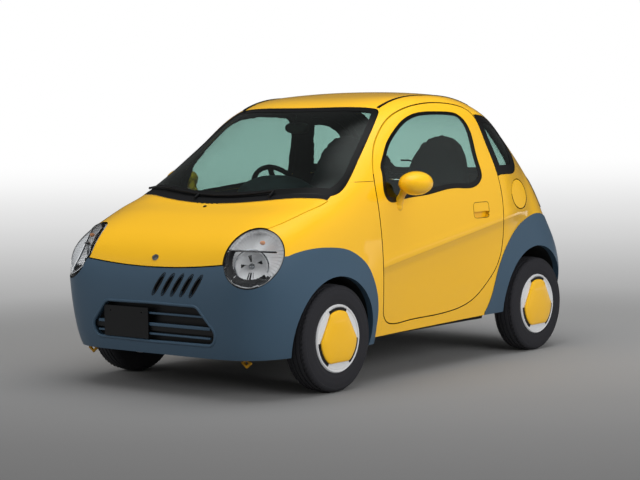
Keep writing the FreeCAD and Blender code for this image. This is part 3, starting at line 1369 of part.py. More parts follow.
# Grille: a backing inside the bumper with one bar across it
backing = block(
    GRILLE_FACE - GRILLE_WALL, GRILLE_FACE, -LENGTH, LENGTH, INTAKE_BOTTOM - RIM_WALL, INTAKE_TOP + RIM_WALL
)
bar = block(
    GRILLE_FACE, LENGTH, -WIDTH, WIDTH, INTAKE_SHOULDER - GRILLE_BAR / 2, INTAKE_SHOULDER + GRILLE_BAR / 2
).common(intake_room).common(skin_solid(GRILLE_WALL))
board = block(
    BOARD_FACE - BOARD_WALL, BOARD_FACE, BOARD_CENTRE - BOARD_WIDTH / 2, BOARD_CENTRE + BOARD_WIDTH / 2,
    BOARD_HEIGHT - BOARD_TALL / 2, BOARD_HEIGHT + BOARD_TALL / 2,
)
board_bearer = block(
    GRILLE_FACE, BOARD_FACE - BOARD_WALL, BOARD_CENTRE - BOARD_WIDTH / 3, BOARD_CENTRE + BOARD_WIDTH / 3,
    BOARD_HEIGHT - BOARD_TALL / 5, BOARD_HEIGHT + BOARD_TALL / 5,
)
grille = without(backing.common(inside_panels).fuse(bar), front_frame, board_bearer, board)
save("grille", main_solid(grille.removeSplitter()))

# Blank boards for the number plates, each with the two screw holes of its plate
def board_holes(x, across, height):
    middle = Vector(x - BOARD_WALL, across, height + BOARD_HOLE_UP)
    aside = Vector(0, BOARD_HOLE_SPACING / 2, 0)
    ahead = Vector(1, 0, 0)
    left = Part.makeCylinder(BOARD_HOLE_RADIUS, BOARD_WALL * 2, middle + aside, ahead)
    right = Part.makeCylinder(BOARD_HOLE_RADIUS, BOARD_WALL * 2, middle - aside, ahead)
    return left.fuse(right)


rear_board = block(
    REAR_BOARD_FACE, REAR_BOARD_FACE + BOARD_WALL, -BOARD_WIDTH / 2, BOARD_WIDTH / 2,
    REAR_BOARD_HEIGHT - BOARD_TALL / 2, REAR_BOARD_HEIGHT + BOARD_TALL / 2,
)
rear_board = rear_board.cut(board_holes(REAR_BOARD_FACE + BOARD_WALL / 2, 0, REAR_BOARD_HEIGHT))
front_holes = board_holes(BOARD_FACE - BOARD_WALL / 2, BOARD_CENTRE, BOARD_HEIGHT)
save("front_board", board.fuse(board_bearer).removeSplitter().cut(front_holes))
save("rear_board", rear_board)

# Exhaust: pipe under the floor with its hanger, silencer across the tail and the outlet
pipe_points = [
    Vector(PIPE_FRONT, PIPE_ACROSS, PIPE_HEIGHT), Vector(TRAILING_PIVOT_X, PIPE_ACROSS, PIPE_HEIGHT),
    Vector(beam_x, -MUFFLER_LENGTH / 2, PIPE_HEIGHT), Vector(MUFFLER_X, -MUFFLER_LENGTH / 3, MUFFLER_HEIGHT),
]
silencer = across_cylinder(MUFFLER_X, MUFFLER_HEIGHT, MUFFLER_RADIUS, -MUFFLER_LENGTH / 2, MUFFLER_LENGTH / 2)
outlet_start = Vector(MUFFLER_X, -MUFFLER_LENGTH / 3, MUFFLER_HEIGHT - MUFFLER_RADIUS / 2)
outlet_bend = Vector(outlet_start.x - PIPE_RADIUS * 2, outlet_start.y, OUTLET_HEIGHT)
outlet = rod(outlet_start, outlet_bend, PIPE_RADIUS).fuse([
    Part.makeSphere(PIPE_RADIUS, outlet_bend),
    rod(outlet_bend, Vector(TAILPIPE_END, outlet_bend.y, outlet_bend.z), PIPE_RADIUS),
])
hanger = block(
    HEEL_X, HEEL_X + PIPE_RADIUS, PIPE_ACROSS - PIPE_RADIUS / 2, PIPE_ACROSS + PIPE_RADIUS / 2,
    PIPE_HEIGHT, FLOOR_BOTTOM,
)
silencer_hanger = block(
    MUFFLER_X - PIPE_RADIUS, MUFFLER_X + PIPE_RADIUS, -PIPE_RADIUS, PIPE_RADIUS, MUFFLER_HEIGHT,
    REAR_FLOOR_BOTTOM,
)
pipes = [rod(p, q, PIPE_RADIUS) for p, q in zip(pipe_points, pipe_points[1:])]
elbows = [Part.makeSphere(PIPE_RADIUS, p) for p in pipe_points[1:]]
exhaust = silencer.fuse(pipes + elbows + [outlet, hanger, silencer_hanger]).removeSplitter()
save("exhaust", main_solid(exhaust))

# Tow hooks under the front bumper, carried by the rails
def make_hook():
    top = Vector(HOOK_X, HOOK_ACROSS, (RAIL_BOTTOM + RAIL_TOP) / 2)
    low = Vector(HOOK_X, HOOK_ACROSS, UNDERSIDE)
    tip = low - Vector(0, 0, HOOK_DROP)
    joints = [top, low, tip]
    arms = [rod(Vector(HOOK_X, RAIL_OUTER, top.z), top, HOOK_RADIUS), rod(top, low, HOOK_RADIUS)]
    for lean in (-HOOK_HALF, HOOK_HALF):
        corner = Vector(HOOK_X, HOOK_ACROSS + lean, (low.z + tip.z) / 2)
        joints.append(corner)
        arms += [rod(low, corner, HOOK_RADIUS), rod(corner, tip, HOOK_RADIUS)]
    arms += [Part.makeSphere(HOOK_RADIUS * ROD_JOINT_SHARE, joint) for joint in joints]
    return arms[0].fuse(arms[1:]).removeSplitter()


hook = main_solid(make_hook())
save("tow_hooks", Part.makeCompound([hook, mirrored(hook)]))

# Wipers, parked along the foot of the windscreen and fused to the cowl that carries their pivots
def skin_height(x, y):
    low = 0.0
    high = HEIGHT
    for _ in range(SEARCH_STEPS):
        middle = (low + high) / 2
        if body_side(x, y, middle) > 0:
            high = middle
        else:
            low = middle
    return low


def wiper_place(across):
    bow_share = (across / SCREEN_CORNER_Y) ** 2
    x = SCREEN_BASE - (SCREEN_BASE - SCREEN_CORNER_X) * bow_share - WIPER_UP
    place = Vector(x, across, skin_height(x, across))
    return place + outward(place) * WIPER_STAND


def make_wiper(start):
    places = [wiper_place(start - WIPER_REACH * i / WIPER_RUNS) for i in range(WIPER_RUNS + 1)]
    foot_x = places[0].x + WIPER_PIVOT_AHEAD
    foot = Vector(foot_x, start, skin_height(foot_x, start) - WIPER_RADIUS)
    parts = [rod(foot, foot + Vector(0, 0, WIPER_STAND + WIPER_RADIUS * 2), WIPER_PIVOT_RADIUS)]
    places.insert(0, foot + Vector(0, 0, WIPER_STAND + WIPER_RADIUS))
    for p, q in zip(places, places[1:]):
        parts += [rod(p, q, WIPER_RADIUS), Part.makeSphere(WIPER_RADIUS * ROD_JOINT_SHARE, q)]
    return parts


wipers = make_wiper(WIPER_FIRST_ACROSS) + make_wiper(WIPER_FIRST_ACROSS - WIPER_PITCH)
cowl_panel = main_solid(cowl_panel.fuse(wipers).removeSplitter())
save("cowl", cowl_panel)

# Inside mirror on its stem under the windscreen
inner_mirror = block(
    MIRROR_X, MIRROR_X + MIRROR_WALL, -MIRROR_HALF, MIRROR_HALF, MIRROR_HEIGHT - MIRROR_TALL / 2,
    MIRROR_HEIGHT + MIRROR_TALL / 2,
)
inner_mirror = inner_mirror.makeFillet(MIRROR_ROUND, inner_mirror.Edges)
stem_foot = Vector(MIRROR_X + MIRROR_WALL / 2, 0, MIRROR_HEIGHT)
stem = rod(stem_foot, stem_foot + Vector(MIRROR_TALL, 0, MIRROR_TALL * 3), MIRROR_ROUND).common(glass_inner)
save("inner_mirror", main_solid(inner_mirror.fuse(stem).removeSplitter()))
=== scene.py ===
"""Looks of a two-seat microcar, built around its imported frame."""
import json
import math

import bmesh
import bpy
from bpy.props import FloatProperty, FloatVectorProperty, IntProperty, PointerProperty
from mathutils import Matrix, Vector
from mathutils.bvhtree import BVHTree
from mathutils.kdtree import KDTree

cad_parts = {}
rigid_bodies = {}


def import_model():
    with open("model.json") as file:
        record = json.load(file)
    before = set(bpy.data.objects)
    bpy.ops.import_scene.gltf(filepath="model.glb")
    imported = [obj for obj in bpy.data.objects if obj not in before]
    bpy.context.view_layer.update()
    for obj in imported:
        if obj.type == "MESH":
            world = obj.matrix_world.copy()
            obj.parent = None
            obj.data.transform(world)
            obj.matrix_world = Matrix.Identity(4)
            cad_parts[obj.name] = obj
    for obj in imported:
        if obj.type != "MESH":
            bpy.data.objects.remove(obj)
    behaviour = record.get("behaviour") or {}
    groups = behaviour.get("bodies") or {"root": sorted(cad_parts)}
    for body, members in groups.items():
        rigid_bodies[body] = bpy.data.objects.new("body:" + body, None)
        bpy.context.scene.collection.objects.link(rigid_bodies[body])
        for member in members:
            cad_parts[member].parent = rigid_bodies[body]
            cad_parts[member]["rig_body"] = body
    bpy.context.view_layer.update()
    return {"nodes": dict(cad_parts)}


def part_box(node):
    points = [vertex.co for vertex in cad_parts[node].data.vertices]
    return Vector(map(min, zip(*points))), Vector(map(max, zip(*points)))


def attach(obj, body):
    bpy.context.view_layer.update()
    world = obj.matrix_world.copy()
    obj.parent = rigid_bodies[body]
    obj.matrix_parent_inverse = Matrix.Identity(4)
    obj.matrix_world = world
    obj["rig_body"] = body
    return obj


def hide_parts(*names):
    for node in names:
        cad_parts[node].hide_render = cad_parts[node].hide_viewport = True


bl_info = {
    "name": "Two-Seat Microcar",
    "version": (1, 0, 0),
    "blender": (4, 5, 0),
    "location": "View3D > Sidebar > Microcar",
    "description": "Gives a two-seat microcar its paint, glass, lamps, wheels, cabin and studio",
    "category": "Object",
}

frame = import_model()
NODES = frame["nodes"]
OUT_OF_SIGHT = 10.0
MERGE = 0.00001


def linear(colour):
    """Return the linear colour of an sRGB hex value."""
    shares = [int(colour[i:i + 2], 16) / 255 for i in (0, 2, 4)]
    return tuple(s / 12.92 if s <= 0.04045 else ((s + 0.055) / 1.055) ** 2.4 for s in shares)


def colour_prop(name, description, value):
    return FloatVectorProperty(name=name, description=description, subtype="COLOR", size=3, min=0, max=1,
                               default=linear(value))


def length_prop(name, description, value):
    return FloatProperty(name=name, description=description, unit="LENGTH", default=value, precision=4)


class MicrocarColours(bpy.types.PropertyGroup):
    paint: colour_prop("Body paint", "Golden yellow of the body", "F9BE14")
    bumper: colour_prop("Bumpers", "Slate blue-grey of the bumpers and flares", "3F5669")
    black: colour_prop("Black plastic", "Moulded black trim", "0E0F11")
    glass: colour_prop("Window glass", "Green tint of the window glass", "BFDAD3")
    silver: colour_prop("Wheel trim", "Silver lacquer of the wheel trims", "E6E8EA")
    rubber: colour_prop("Rubber", "Tyres and seals", "0A0A0B")
    cloth: colour_prop("Seat cloth", "Dark cloth of the seats", "191C21")
    insert: colour_prop("Seat insert", "Grey cloth in the middle of the seats", "3A3F46")
    lining: colour_prop("Lining", "Dark lining of the cabin", "16191D")
    amber: colour_prop("Amber", "Bulbs of the turn signals", "D08A58")
    red: colour_prop("Tail lamps", "Red of the tail lamps", "B30B0E")


class MicrocarSizes(bpy.types.PropertyGroup):
    seal: length_prop("Seal", "Half thickness of the rubber seals round the glass", 0.0035)
    border: length_prop("Glass border", "Black border of the side windows", 0.026)
    quarter_border: length_prop("Rear border", "Black border of the quarter windows and the tailgate's glass", 0.052)
    screen_border: length_prop("Screen border", "Black border of the windscreen at its sides and top", 0.040)
    screen_foot: length_prop("Screen foot", "Black band along the foot of the windscreen", 0.085)
    tread_depth: length_prop("Tread depth", "Depth of the grooves of the tyres", 0.006)
    tread_pitches: IntProperty(name="Tread pitches", description="Blocks round each tyre", default=64, min=12)
    lens_wall: length_prop("Lens wall", "Thickness of the headlamp lens", 0.003)


class MicrocarStage(bpy.types.PropertyGroup):
    camera_place: FloatVectorProperty(name="Camera place", description="Where the camera stands", subtype="TRANSLATION",
                                      unit="LENGTH", default=(7.30, 5.90, 1.33))
    heading: FloatProperty(name="Heading", description="Turn of the camera's view from straight back",
                           subtype="ANGLE", default=math.radians(39.2))
    tilt: FloatProperty(name="Tilt", description="Downward tilt of the camera", subtype="ANGLE",
                        default=math.radians(4.1))
    roll: FloatProperty(name="Roll", description="Roll of the camera", subtype="ANGLE", default=math.radians(-0.9))
    lens: FloatProperty(name="Lens", description="Focal length in millimetres", default=98.0)
    floor_radius: length_prop("Floor", "Radius of the studio floor", 60.0)
    fade_start: length_prop("Fade start", "Where the floor starts to fade to white on the camera's side", 5.0)
    top_light: FloatProperty(name="Top light", description="Power of the soft light above", unit="POWER", default=138.0)
    side_light: FloatProperty(name="Side light", description="Power of the soft light at the side", unit="POWER",
                              default=180.0)
    front_light: FloatProperty(name="Front light", description="Power of the soft light in front", unit="POWER",
                               default=62.0)


# Helpers for meshes

def middle(node):
    low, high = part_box(node)
    return (low + high) / 2


def merged_mesh(node, keep=None):
    """Return a copy of a node's mesh with its doubles merged and its shading kept."""
    mesh = NODES[node].data.copy()
    normals = [c for corner in mesh.corner_normals for c in corner.vector]
    mesh.attributes.new("kept", "FLOAT_VECTOR", "CORNER").data.foreach_set("vector", normals)
    bm = bmesh.new()
    bm.from_mesh(mesh)
    bmesh.ops.remove_doubles(bm, verts=bm.verts, dist=MERGE)
    if keep:
        bm.normal_update()
        drop = [f for f in bm.faces if not keep(f.calc_center_median(), f.normal)]
        bmesh.ops.delete(bm, geom=drop, context="FACES")
    bm.to_mesh(mesh)
    bm.free()
    kept = [Vector(item.vector) for item in mesh.attributes["kept"].data]
    mesh.normals_split_custom_set(kept)
    mesh.attributes.remove(mesh.attributes["kept"])
    return mesh


def outwardness(place, normal):
    """Return how much a face looks away from the middle line of the cabin, from -1 to 1."""
    spine = Vector((min(0.6, max(-0.6, place.x)), 0, 0.55))
    return normal.dot((place - spine).normalized())


def new_piece(name, mesh, body, materials, replaced=()):
    """Put a mesh into the scene as a piece that rides on a body."""
    mesh.name = name
    mesh.materials.clear()
    for material in materials:
        mesh.materials.append(material())
    piece = bpy.data.objects.new(name, mesh)
    bpy.context.scene.collection.objects.link(piece)
    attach(piece, body)
    if replaced:
        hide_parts(*replaced)
    return piece


def shaped(name, bm, body, materials, replaced=(), sharp=math.radians(32)):
    """Turn a bmesh into a smooth piece with its hard edges kept sharp."""
    bmesh.ops.remove_doubles(bm, verts=bm.verts, dist=MERGE)
    mesh = bpy.data.meshes.new(name)
    bm.to_mesh(mesh)
    bm.free()
    mesh.shade_smooth()
    mesh.set_sharp_from_angle(angle=sharp)
    return new_piece(name, mesh, body, materials, replaced)


def body_of(node):
    return NODES[node]["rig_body"]


def dress(node, slot, *materials):
    """Give a node that stays its finish."""
    piece = NODES[node]
    piece.data.materials.clear()
    for material in materials:
        piece.data.materials.append(material())


def boundary_loops(bm):
    """Return the open edges of a mesh as closed loops of places."""
    left = {e for e in bm.edges if e.is_boundary}
    loops = []
    while left:
        edge = left.pop()
        start, at = edge.verts
        loop = [start.co.copy()]
        while at != start:
            loop.append(at.co.copy())
            following = next((e for e in at.link_edges if e in left), None)
            if following is None:
                break
            left.discard(following)
            at = following.other_vert(at)
        loops.append(loop)
    return sorted(loops, key=len, reverse=True)


def refine(bm, longest):
    """Split edges until none is longer than a length."""
    for _ in range(6):
        long_edges = [e for e in bm.edges if e.calc_length() > longest]
        if not long_edges:
            return
        bmesh.ops.subdivide_edges(bm, edges=long_edges, cuts=1)
        bmesh.ops.triangulate(bm, faces=[f for f in bm.faces if len(f.verts) > 3])


def cut_to(bm, level):
    """Keep the part of a mesh where level(place) is above zero, cut along its zero line."""
    crossing = []
    for edge in bm.edges:
        a, b = (level(v.co) for v in edge.verts)
        if a * b < 0:
            crossing.append((edge, edge.verts[0], a / (a - b)))
    cuts = [bmesh.utils.edge_split(edge, vert, share)[1] for edge, vert, share in crossing]
    bmesh.ops.connect_verts(bm, verts=cuts)
    drop = [f for f in bm.faces if level(f.calc_center_median()) < 0]
    bmesh.ops.delete(bm, geom=drop, context="FACES")


def pane_face(node, inside, half=None):
    """Return the outer or inner big face of a pane as a bmesh, for one side of the car if asked."""
    sign = -1 if inside else 1

    def keep(place, normal):
        return sign * outwardness(place, normal) > 0.25 and (half is None or place.y * half > 0)

    bm = bmesh.new()
    bm.from_mesh(merged_mesh(node, keep))
    return bm


def edge_distance(bm):
    """Return a function that gives a place's distance from the outline of an open mesh."""
    places = []
    for edge in bm.edges:
        if edge.is_boundary:
            a, b = (v.co for v in edge.verts)
            count = max(1, int((b - a).length / 0.004))
            places += [a.lerp(b, i / count) for i in range(count)]
    tree = KDTree(len(places))
    for i, place in enumerate(places):
        tree.insert(place, i)
    tree.balance()
    return lambda place: tree.find(place)[2]


def tube(name, points, radius, body, material, closed=True, taper=None):
    """Return a round strip along points."""
    curve = bpy.data.curves.new(name, "CURVE")
    curve.dimensions = "3D"
    curve.bevel_depth = radius
    curve.bevel_resolution = 2
    curve.use_fill_caps = not closed
    spline = curve.splines.new("POLY")
    spline.points.add(len(points) - 1)
    for i, (point, place) in enumerate(zip(spline.points, points)):
        point.co = (*place, 1.0)
        point.radius = taper[i] if taper else 1.0
    spline.use_cyclic_u = closed
    holder = bpy.data.objects.new(name, curve)
    mesh = bpy.data.meshes.new_from_object(holder)
    bpy.data.objects.remove(holder)
    mesh.shade_smooth()
    return new_piece(name, mesh, body, [material])


def spaced(points, step, closed=True):
    """Return points at equal steps along a line of points."""
    line = list(points) + ([points[0]] if closed else [])
    result = [line[0].copy()]
    rest = step
    for a, b in zip(line, line[1:]):
        span = (b - a).length
        at = rest
        while at < span:
            result.append(a.lerp(b, at / span))
            at += step
        rest = at - span
    return result


def stepped(bm, edges, centre, steps):
    """Carry a loop of edges on through steps of (size share, shift vector) and return the last loop."""
    size = 1.0
    for share, shift in steps:
        ring = bmesh.ops.extrude_edge_only(bm, edges=edges)["geom"]
        verts = [g for g in ring if isinstance(g, bmesh.types.BMVert)]
        edges = [g for g in ring if isinstance(g, bmesh.types.BMEdge)]
        bmesh.ops.scale(bm, vec=(share / size,) * 3, verts=verts, space=Matrix.Translation(-centre))
        bmesh.ops.translate(bm, vec=shift, verts=verts)
        centre = centre + shift
        size = share
    return edges


def turned(bm, points, centre, steps, outward=1):
    """Turn a line of (radius, across) points about the y axis through a centre."""
    verts = [bm.verts.new(centre + Vector((0, y * outward, r))) for r, y in points]
    edges = [bm.edges.new(pair) for pair in zip(verts, verts[1:])]
    bmesh.ops.spin(bm, geom=verts + edges, cent=centre, axis=(0, 1, 0), angle=math.tau, steps=steps, use_merge=True)
    bmesh.ops.remove_doubles(bm, verts=bm.verts, dist=MERGE)
    bmesh.ops.recalc_face_normals(bm, faces=bm.faces)


def rounded_block(bm, low, high, bevel, segments=3):
    """Add a block between two corners with its edges rounded."""
    made = bmesh.ops.create_cube(bm, size=1.0)["verts"]
    low, high = Vector(low), Vector(high)
    bmesh.ops.scale(bm, vec=high - low, verts=made)
    bmesh.ops.translate(bm, vec=(low + high) / 2, verts=made)
    edges = list({e for v in made for e in v.link_edges})
    return bmesh.ops.bevel(bm, geom=edges, offset=bevel, segments=segments, profile=0.5, affect="EDGES",
                           material=-1)["faces"]


# Materials

def add(tree, kind, inputs=None, **settings):
    """Add a node with its settings, and fill its sockets with values or with other nodes' outputs."""
    node = tree.nodes.new(kind)
    for name, value in settings.items():
        setattr(node, name, value)
    for name, value in (inputs or {}).items():
        if isinstance(value, bpy.types.NodeSocket):
            tree.links.new(value, node.inputs[name])
        else:
            node.inputs[name].default_value = value
    return node


def per_metre(millimetres):
    return 1000 / millimetres


def finish(name, inputs, grain=None, drift=None):
    """Return a material, made once: its shader's sockets, a bump grain (size in mm, depth in mm, detail) and a drift
    of colour (size in mm, second colour)."""
    found = bpy.data.materials.get(name)
    if found:
        return found
    material = bpy.data.materials.new(name)
    material.use_nodes = True
    tree = material.node_tree
    tree.nodes.clear()
    shader = add(tree, "ShaderNodeBsdfPrincipled", inputs)
    add(tree, "ShaderNodeOutputMaterial", {"Surface": shader.outputs["BSDF"]})
    where = add(tree, "ShaderNodeTexCoord").outputs["Object"]
    if grain:
        size, depth, detail = grain
        noise = add(tree, "ShaderNodeTexNoise", {"Vector": where, "Scale": per_metre(size), "Detail": detail})
        bump = add(tree, "ShaderNodeBump", {"Height": noise.outputs["Fac"], "Distance": depth / 1000, "Strength": 1.0})
        tree.links.new(bump.outputs["Normal"], shader.inputs["Normal"])
    if drift:
        size, colour = drift
        cloud = add(tree, "ShaderNodeTexNoise", {"Vector": where, "Scale": per_metre(size), "Detail": 3.0})
        mix = add(tree, "ShaderNodeMix", {0: cloud.outputs["Fac"], 6: inputs["Base Color"], 7: colour}, data_type="RGBA")
        tree.links.new(mix.outputs[2], shader.inputs["Base Color"])
    return material


def opaque(colour, share=1.0):
    return (*[c * share for c in colour], 1.0)


# The crease of the flanks: its ends as (x, z), how far it works below and above, and its press by place
CREASE_ENDS = [(0.459, 0.570), (-0.977, 0.800)]
CREASE_FADE = 0.30
CREASE_DEPTH = 0.060
CREASE_SHARES = [(0.0, 0.30), (0.2, 0.38), (0.4, 0.62), (0.485, 0.88), (0.5, 0.94), (0.53, 0.95), (0.6, 0.90), (1.0, 0.86)]


def colours():
    return bpy.context.scene.microcar_colours


def sizes():
    return bpy.context.scene.microcar_sizes


def clear_coated_enamel():
    # Sprayed enamel under clear lacquer: deep even colour, a sharp reflection and a faint orange peel
    paint = colours().paint
    return finish("clear_coated_enamel", {
        "Base Color": opaque(paint), "Roughness": 0.42, "Coat Weight": 1.0, "Coat Roughness": 0.03,
        "Coat IOR": 1.5, "Specular IOR Level": 0.35,
    }, drift=(900, opaque(paint, 0.94)))


def creased_enamel():
    # The same enamel on the flanks, whose pressed crease runs up from the sill to the rear wheel: the sheet leans in
    # below it. The lean is drawn as bump, strongest at the crease and gone at the sill.
    found = bpy.data.materials.get("creased_enamel")
    if found:
        return found
    material = clear_coated_enamel().copy()
    material.name = "creased_enamel"
    tree = material.node_tree
    where = next(n for n in tree.nodes if n.type == "TEX_COORD").outputs["Object"]
    shader = next(n for n in tree.nodes if n.type == "BSDF_PRINCIPLED")
    (front_x, front_z), (rear_x, rear_z) = CREASE_ENDS
    rise = (rear_z - front_z) / (front_x - rear_x)
    above = add(tree, "ShaderNodeVectorMath", {0: where, 1: (rise, 0, 1)}, operation="DOT_PRODUCT").outputs["Value"]
    place = add(tree, "ShaderNodeMapRange", {"Value": above, "From Min": front_z + rise * front_x - CREASE_FADE,
                                             "From Max": front_z + rise * front_x + CREASE_FADE})
    press = add(tree, "ShaderNodeFloatCurve", {"Value": place.outputs["Result"]})
    points = press.mapping.curves[0].points
    for at, height in CREASE_SHARES[1:-1]:
        points.new(at, height)
    points[0].location, points[-1].location = CREASE_SHARES[0], CREASE_SHARES[-1]
    press.mapping.update()
    along = add(tree, "ShaderNodeSeparateXYZ", {0: where}).outputs["X"]
    fade = add(tree, "ShaderNodeMapRange", {"Value": along, "From Min": rear_x, "From Max": rear_x + CREASE_FADE},
               interpolation_type="SMOOTHSTEP").outputs["Result"]
    height = add(tree, "ShaderNodeMath", {0: press.outputs["Value"], 1: fade}, operation="MULTIPLY")
    bump = add(tree, "ShaderNodeBump", {"Height": height.outputs[0], "Distance": CREASE_DEPTH, "Strength": 1.0})
    tree.links.new(bump.outputs["Normal"], shader.inputs["Normal"])
    tree.links.new(bump.outputs["Normal"], shader.inputs["Coat Normal"])
    return material


def satin_polypropylene():
    # Moulded polypropylene in slate blue: a satin sheen broken by a fine leather-like grain
    tone = colours().bumper
    return finish("satin_polypropylene", {
        "Base Color": opaque(tone), "Roughness": 0.40, "Specular IOR Level": 0.45,
    }, grain=(1.6, 0.02, 2.0), drift=(500, opaque(tone, 0.9)))


def moulded_abs():
    # Moulded black ABS: near black, a soft sheen over fine grain
    return finish("moulded_abs", {"Base Color": opaque(colours().black), "Roughness": 0.45}, grain=(1.2, 0.04, 3.0),
                  drift=(120, opaque(colours().black, 0.8)))


def baked_border():
    # Ceramic enamel baked on the glass edge: flat black
    return finish("baked_border", {"Base Color": opaque(linear("070809")), "Roughness": 0.3},
                  drift=(60, opaque(linear("0A0B0C"))))


def float_glass():
    # Green-tinted float glass: clear, with a clean edge-on reflection
    return finish("float_glass", {
        "Base Color": opaque(colours().glass), "Roughness": 0.0, "IOR": 1.5, "Transmission Weight": 1.0,
    })


def lamp_polycarbonate():
    # Hard-coated clear polycarbonate of the lamp lenses
    material = finish("lamp_polycarbonate", {
        "Base Color": opaque(linear("F6F8FA")), "Roughness": 0.0, "IOR": 1.45, "Transmission Weight": 1.0,
    })
    # The lamps' light reaches the reflector behind the lens
    tree = material.node_tree
    output = tree.nodes.get("Material Output")
    shader = output.inputs["Surface"].links[0].from_socket
    if shader.node.bl_idname == "ShaderNodeBsdfPrincipled":
        clear = add(tree, "ShaderNodeBsdfTransparent")
        shadow = add(tree, "ShaderNodeLightPath").outputs["Is Shadow Ray"]
        mix = add(tree, "ShaderNodeMixShader", {0: shadow, 1: shader, 2: clear.outputs["BSDF"]})
        tree.links.new(mix.outputs[0], output.inputs["Surface"])
    return material


def aluminised_reflector():
    # Vacuum-aluminised lacquer in the lamps: a mirror with slight haze, near half of it plain white diffuse as a
    # painted reflection that keeps it bright
    return finish("aluminised_reflector", {
        "Base Color": opaque(linear("FBFBFB")), "Metallic": 0.55, "Roughness": 0.16,
    }, grain=(5, 0.5, 1.5))


def bezel_and_painted_shade():
    # Dark moulded inner bezel of the headlamps, also laid on the reflectors' lower faces and some bowl facets as
    # painted shade and painted dark reflections
    return finish("bezel_and_painted_shade", {"Base Color": opaque(linear("16181B")), "Roughness": 0.25},
                  drift=(40, opaque(linear("0C0D0E"))))


def amber_bulb():
    # Amber lacquered bulb glass
    return finish("amber_bulb", {"Base Color": opaque(colours().amber), "Roughness": 0.15, "Coat Weight": 0.6},
                  drift=(30, opaque(colours().amber, 0.7)))


def red_acrylic():
    # Red acrylic lens with a prism pattern moulded behind its smooth face
    return finish("red_acrylic", {
        "Base Color": opaque(colours().red), "Roughness": 0.12, "Coat Weight": 1.0, "Coat Roughness": 0.02,
    }, grain=(6, 0.25, 0.0), drift=(40, opaque(colours().red, 0.7)))


def tyre_rubber():
    # Carbon-black tyre rubber: dull, with a fine grain
    return finish("tyre_rubber", {"Base Color": opaque(colours().rubber), "Roughness": 0.75, "Specular IOR Level": 0.1},
                  grain=(2.0, 0.06, 3.0), drift=(80, opaque(colours().rubber, 0.7)))


def seal_rubber():
    # Extruded sealing rubber: matte black
    return finish("seal_rubber", {"Base Color": opaque(linear("0B0B0C")), "Roughness": 0.55},
                  drift=(50, opaque(linear("060606"))))


def silver_lacquer():
    # Silver metallic lacquer on moulded wheel trims: pale, fine sparkle and a soft reflection
    silver = colours().silver
    return finish("silver_lacquer", {
        "Base Color": opaque(silver), "Metallic": 0.2, "Roughness": 0.30, "Coat Weight": 0.5,
        "Coat Roughness": 0.08,
    }, grain=(0.9, 0.008, 1.0), drift=(30, opaque(silver, 0.93)))


def bright_chrome():
    # Chrome-plated plastic: a near perfect mirror
    return finish("bright_chrome", {"Base Color": opaque(linear("DDE0E3")), "Metallic": 1.0, "Roughness": 0.07},
                  grain=(40, 0.02, 0.0))


def cabin_lining():
    # Grained vinyl and moulded lining of the cabin
    lining = colours().lining
    return finish("cabin_lining", {"Base Color": opaque(lining), "Roughness": 0.7, "Specular IOR Level": 0.15}, grain=(1.8, 0.12, 4.0),
                  drift=(200, opaque(lining, 0.8)))


def soft_vinyl():
    # Soft-touch vinyl of the dial cowl: slate grey, dull, finely grained
    return finish("soft_vinyl", {"Base Color": opaque(linear("39444C")), "Roughness": 0.65}, grain=(1.8, 0.10, 3.0),
                  drift=(150, opaque(linear("323B42"))))


def underseal():
    # Sprayed bitumen underseal: black, dull and bumpy
    return finish("underseal", {"Base Color": opaque(linear("101112")), "Roughness": 0.8}, grain=(9, 0.9, 5.0),
                  drift=(150, opaque(linear("1A1A1A"))))


def sooty_iron():
    # Cast iron and cast aluminium under the bonnet, dulled by oil
    return finish("sooty_iron", {"Base Color": opaque(linear("3B3C3E")), "Metallic": 0.7, "Roughness": 0.55},
                  grain=(3, 0.3, 5.0), drift=(90, opaque(linear("222222"))))


def aluminised_pipe():
    # Aluminised steel of the exhaust: dull grey with heat stains
    return finish("aluminised_pipe", {"Base Color": opaque(linear("7C7873")), "Metallic": 1.0, "Roughness": 0.42},
                  grain=(2, 0.05, 3.0), drift=(70, opaque(linear("4E463F"))))


def yellow_primer():
    # Yellow-passivated steel of the tie-down hooks
    return finish("yellow_primer", {"Base Color": opaque(linear("D09A1E")), "Metallic": 0.35, "Roughness": 0.4},
                  grain=(1.5, 0.05, 2.0), drift=(25, opaque(linear("A87812"))))


def woven_cloth(name, colour):
    # Flat-woven polyester: crossed threads 1.6 mm apart, drawn coarse enough to show, with a soft sheen
    found = bpy.data.materials.get(name)
    if found:
        return found
    material = finish(name, {
        "Base Color": opaque(colour), "Roughness": 0.9, "Sheen Weight": 0.12, "Sheen Roughness": 0.5,
        "Specular IOR Level": 0.1,
    }, drift=(60, opaque(colour, 0.72)))
    tree = material.node_tree
    where = next(n for n in tree.nodes if n.type == "TEX_COORD").outputs["Object"]
    shader = next(n for n in tree.nodes if n.type == "BSDF_PRINCIPLED")
    heights = [
        add(tree, "ShaderNodeTexWave", {"Vector": where, "Scale": per_metre(1.6) / math.tau, "Distortion": 0.4},
            bands_direction=way).outputs["Fac"]
        for way in ("Y", "Z")
    ]
    weave = add(tree, "ShaderNodeMath", {0: heights[0], 1: heights[1]}, operation="MAXIMUM")
    bump = add(tree, "ShaderNodeBump", {"Height": weave.outputs[0], "Distance": 0.0004, "Strength": 0.8})
    tree.links.new(bump.outputs["Normal"], shader.inputs["Normal"])
    return material


def seat_cloth():
    return woven_cloth("seat_cloth", colours().cloth)


def insert_cloth():
    return woven_cloth("insert_cloth", colours().insert)


# Shell

SHELL_NODES = ["bonnet", "fender_left", "fender_right", "roof", "body_side_left", "body_side_right", "rear_panel",
               "door_left", "door_right", "fuel_lid", "hatch_frame"]


# Room of each door's handle, painted all over: its ends along x, its span of heights, and its inner side
HANDLE_ROOM = ((-0.53, -0.36), (0.76, 0.865), 0.62)


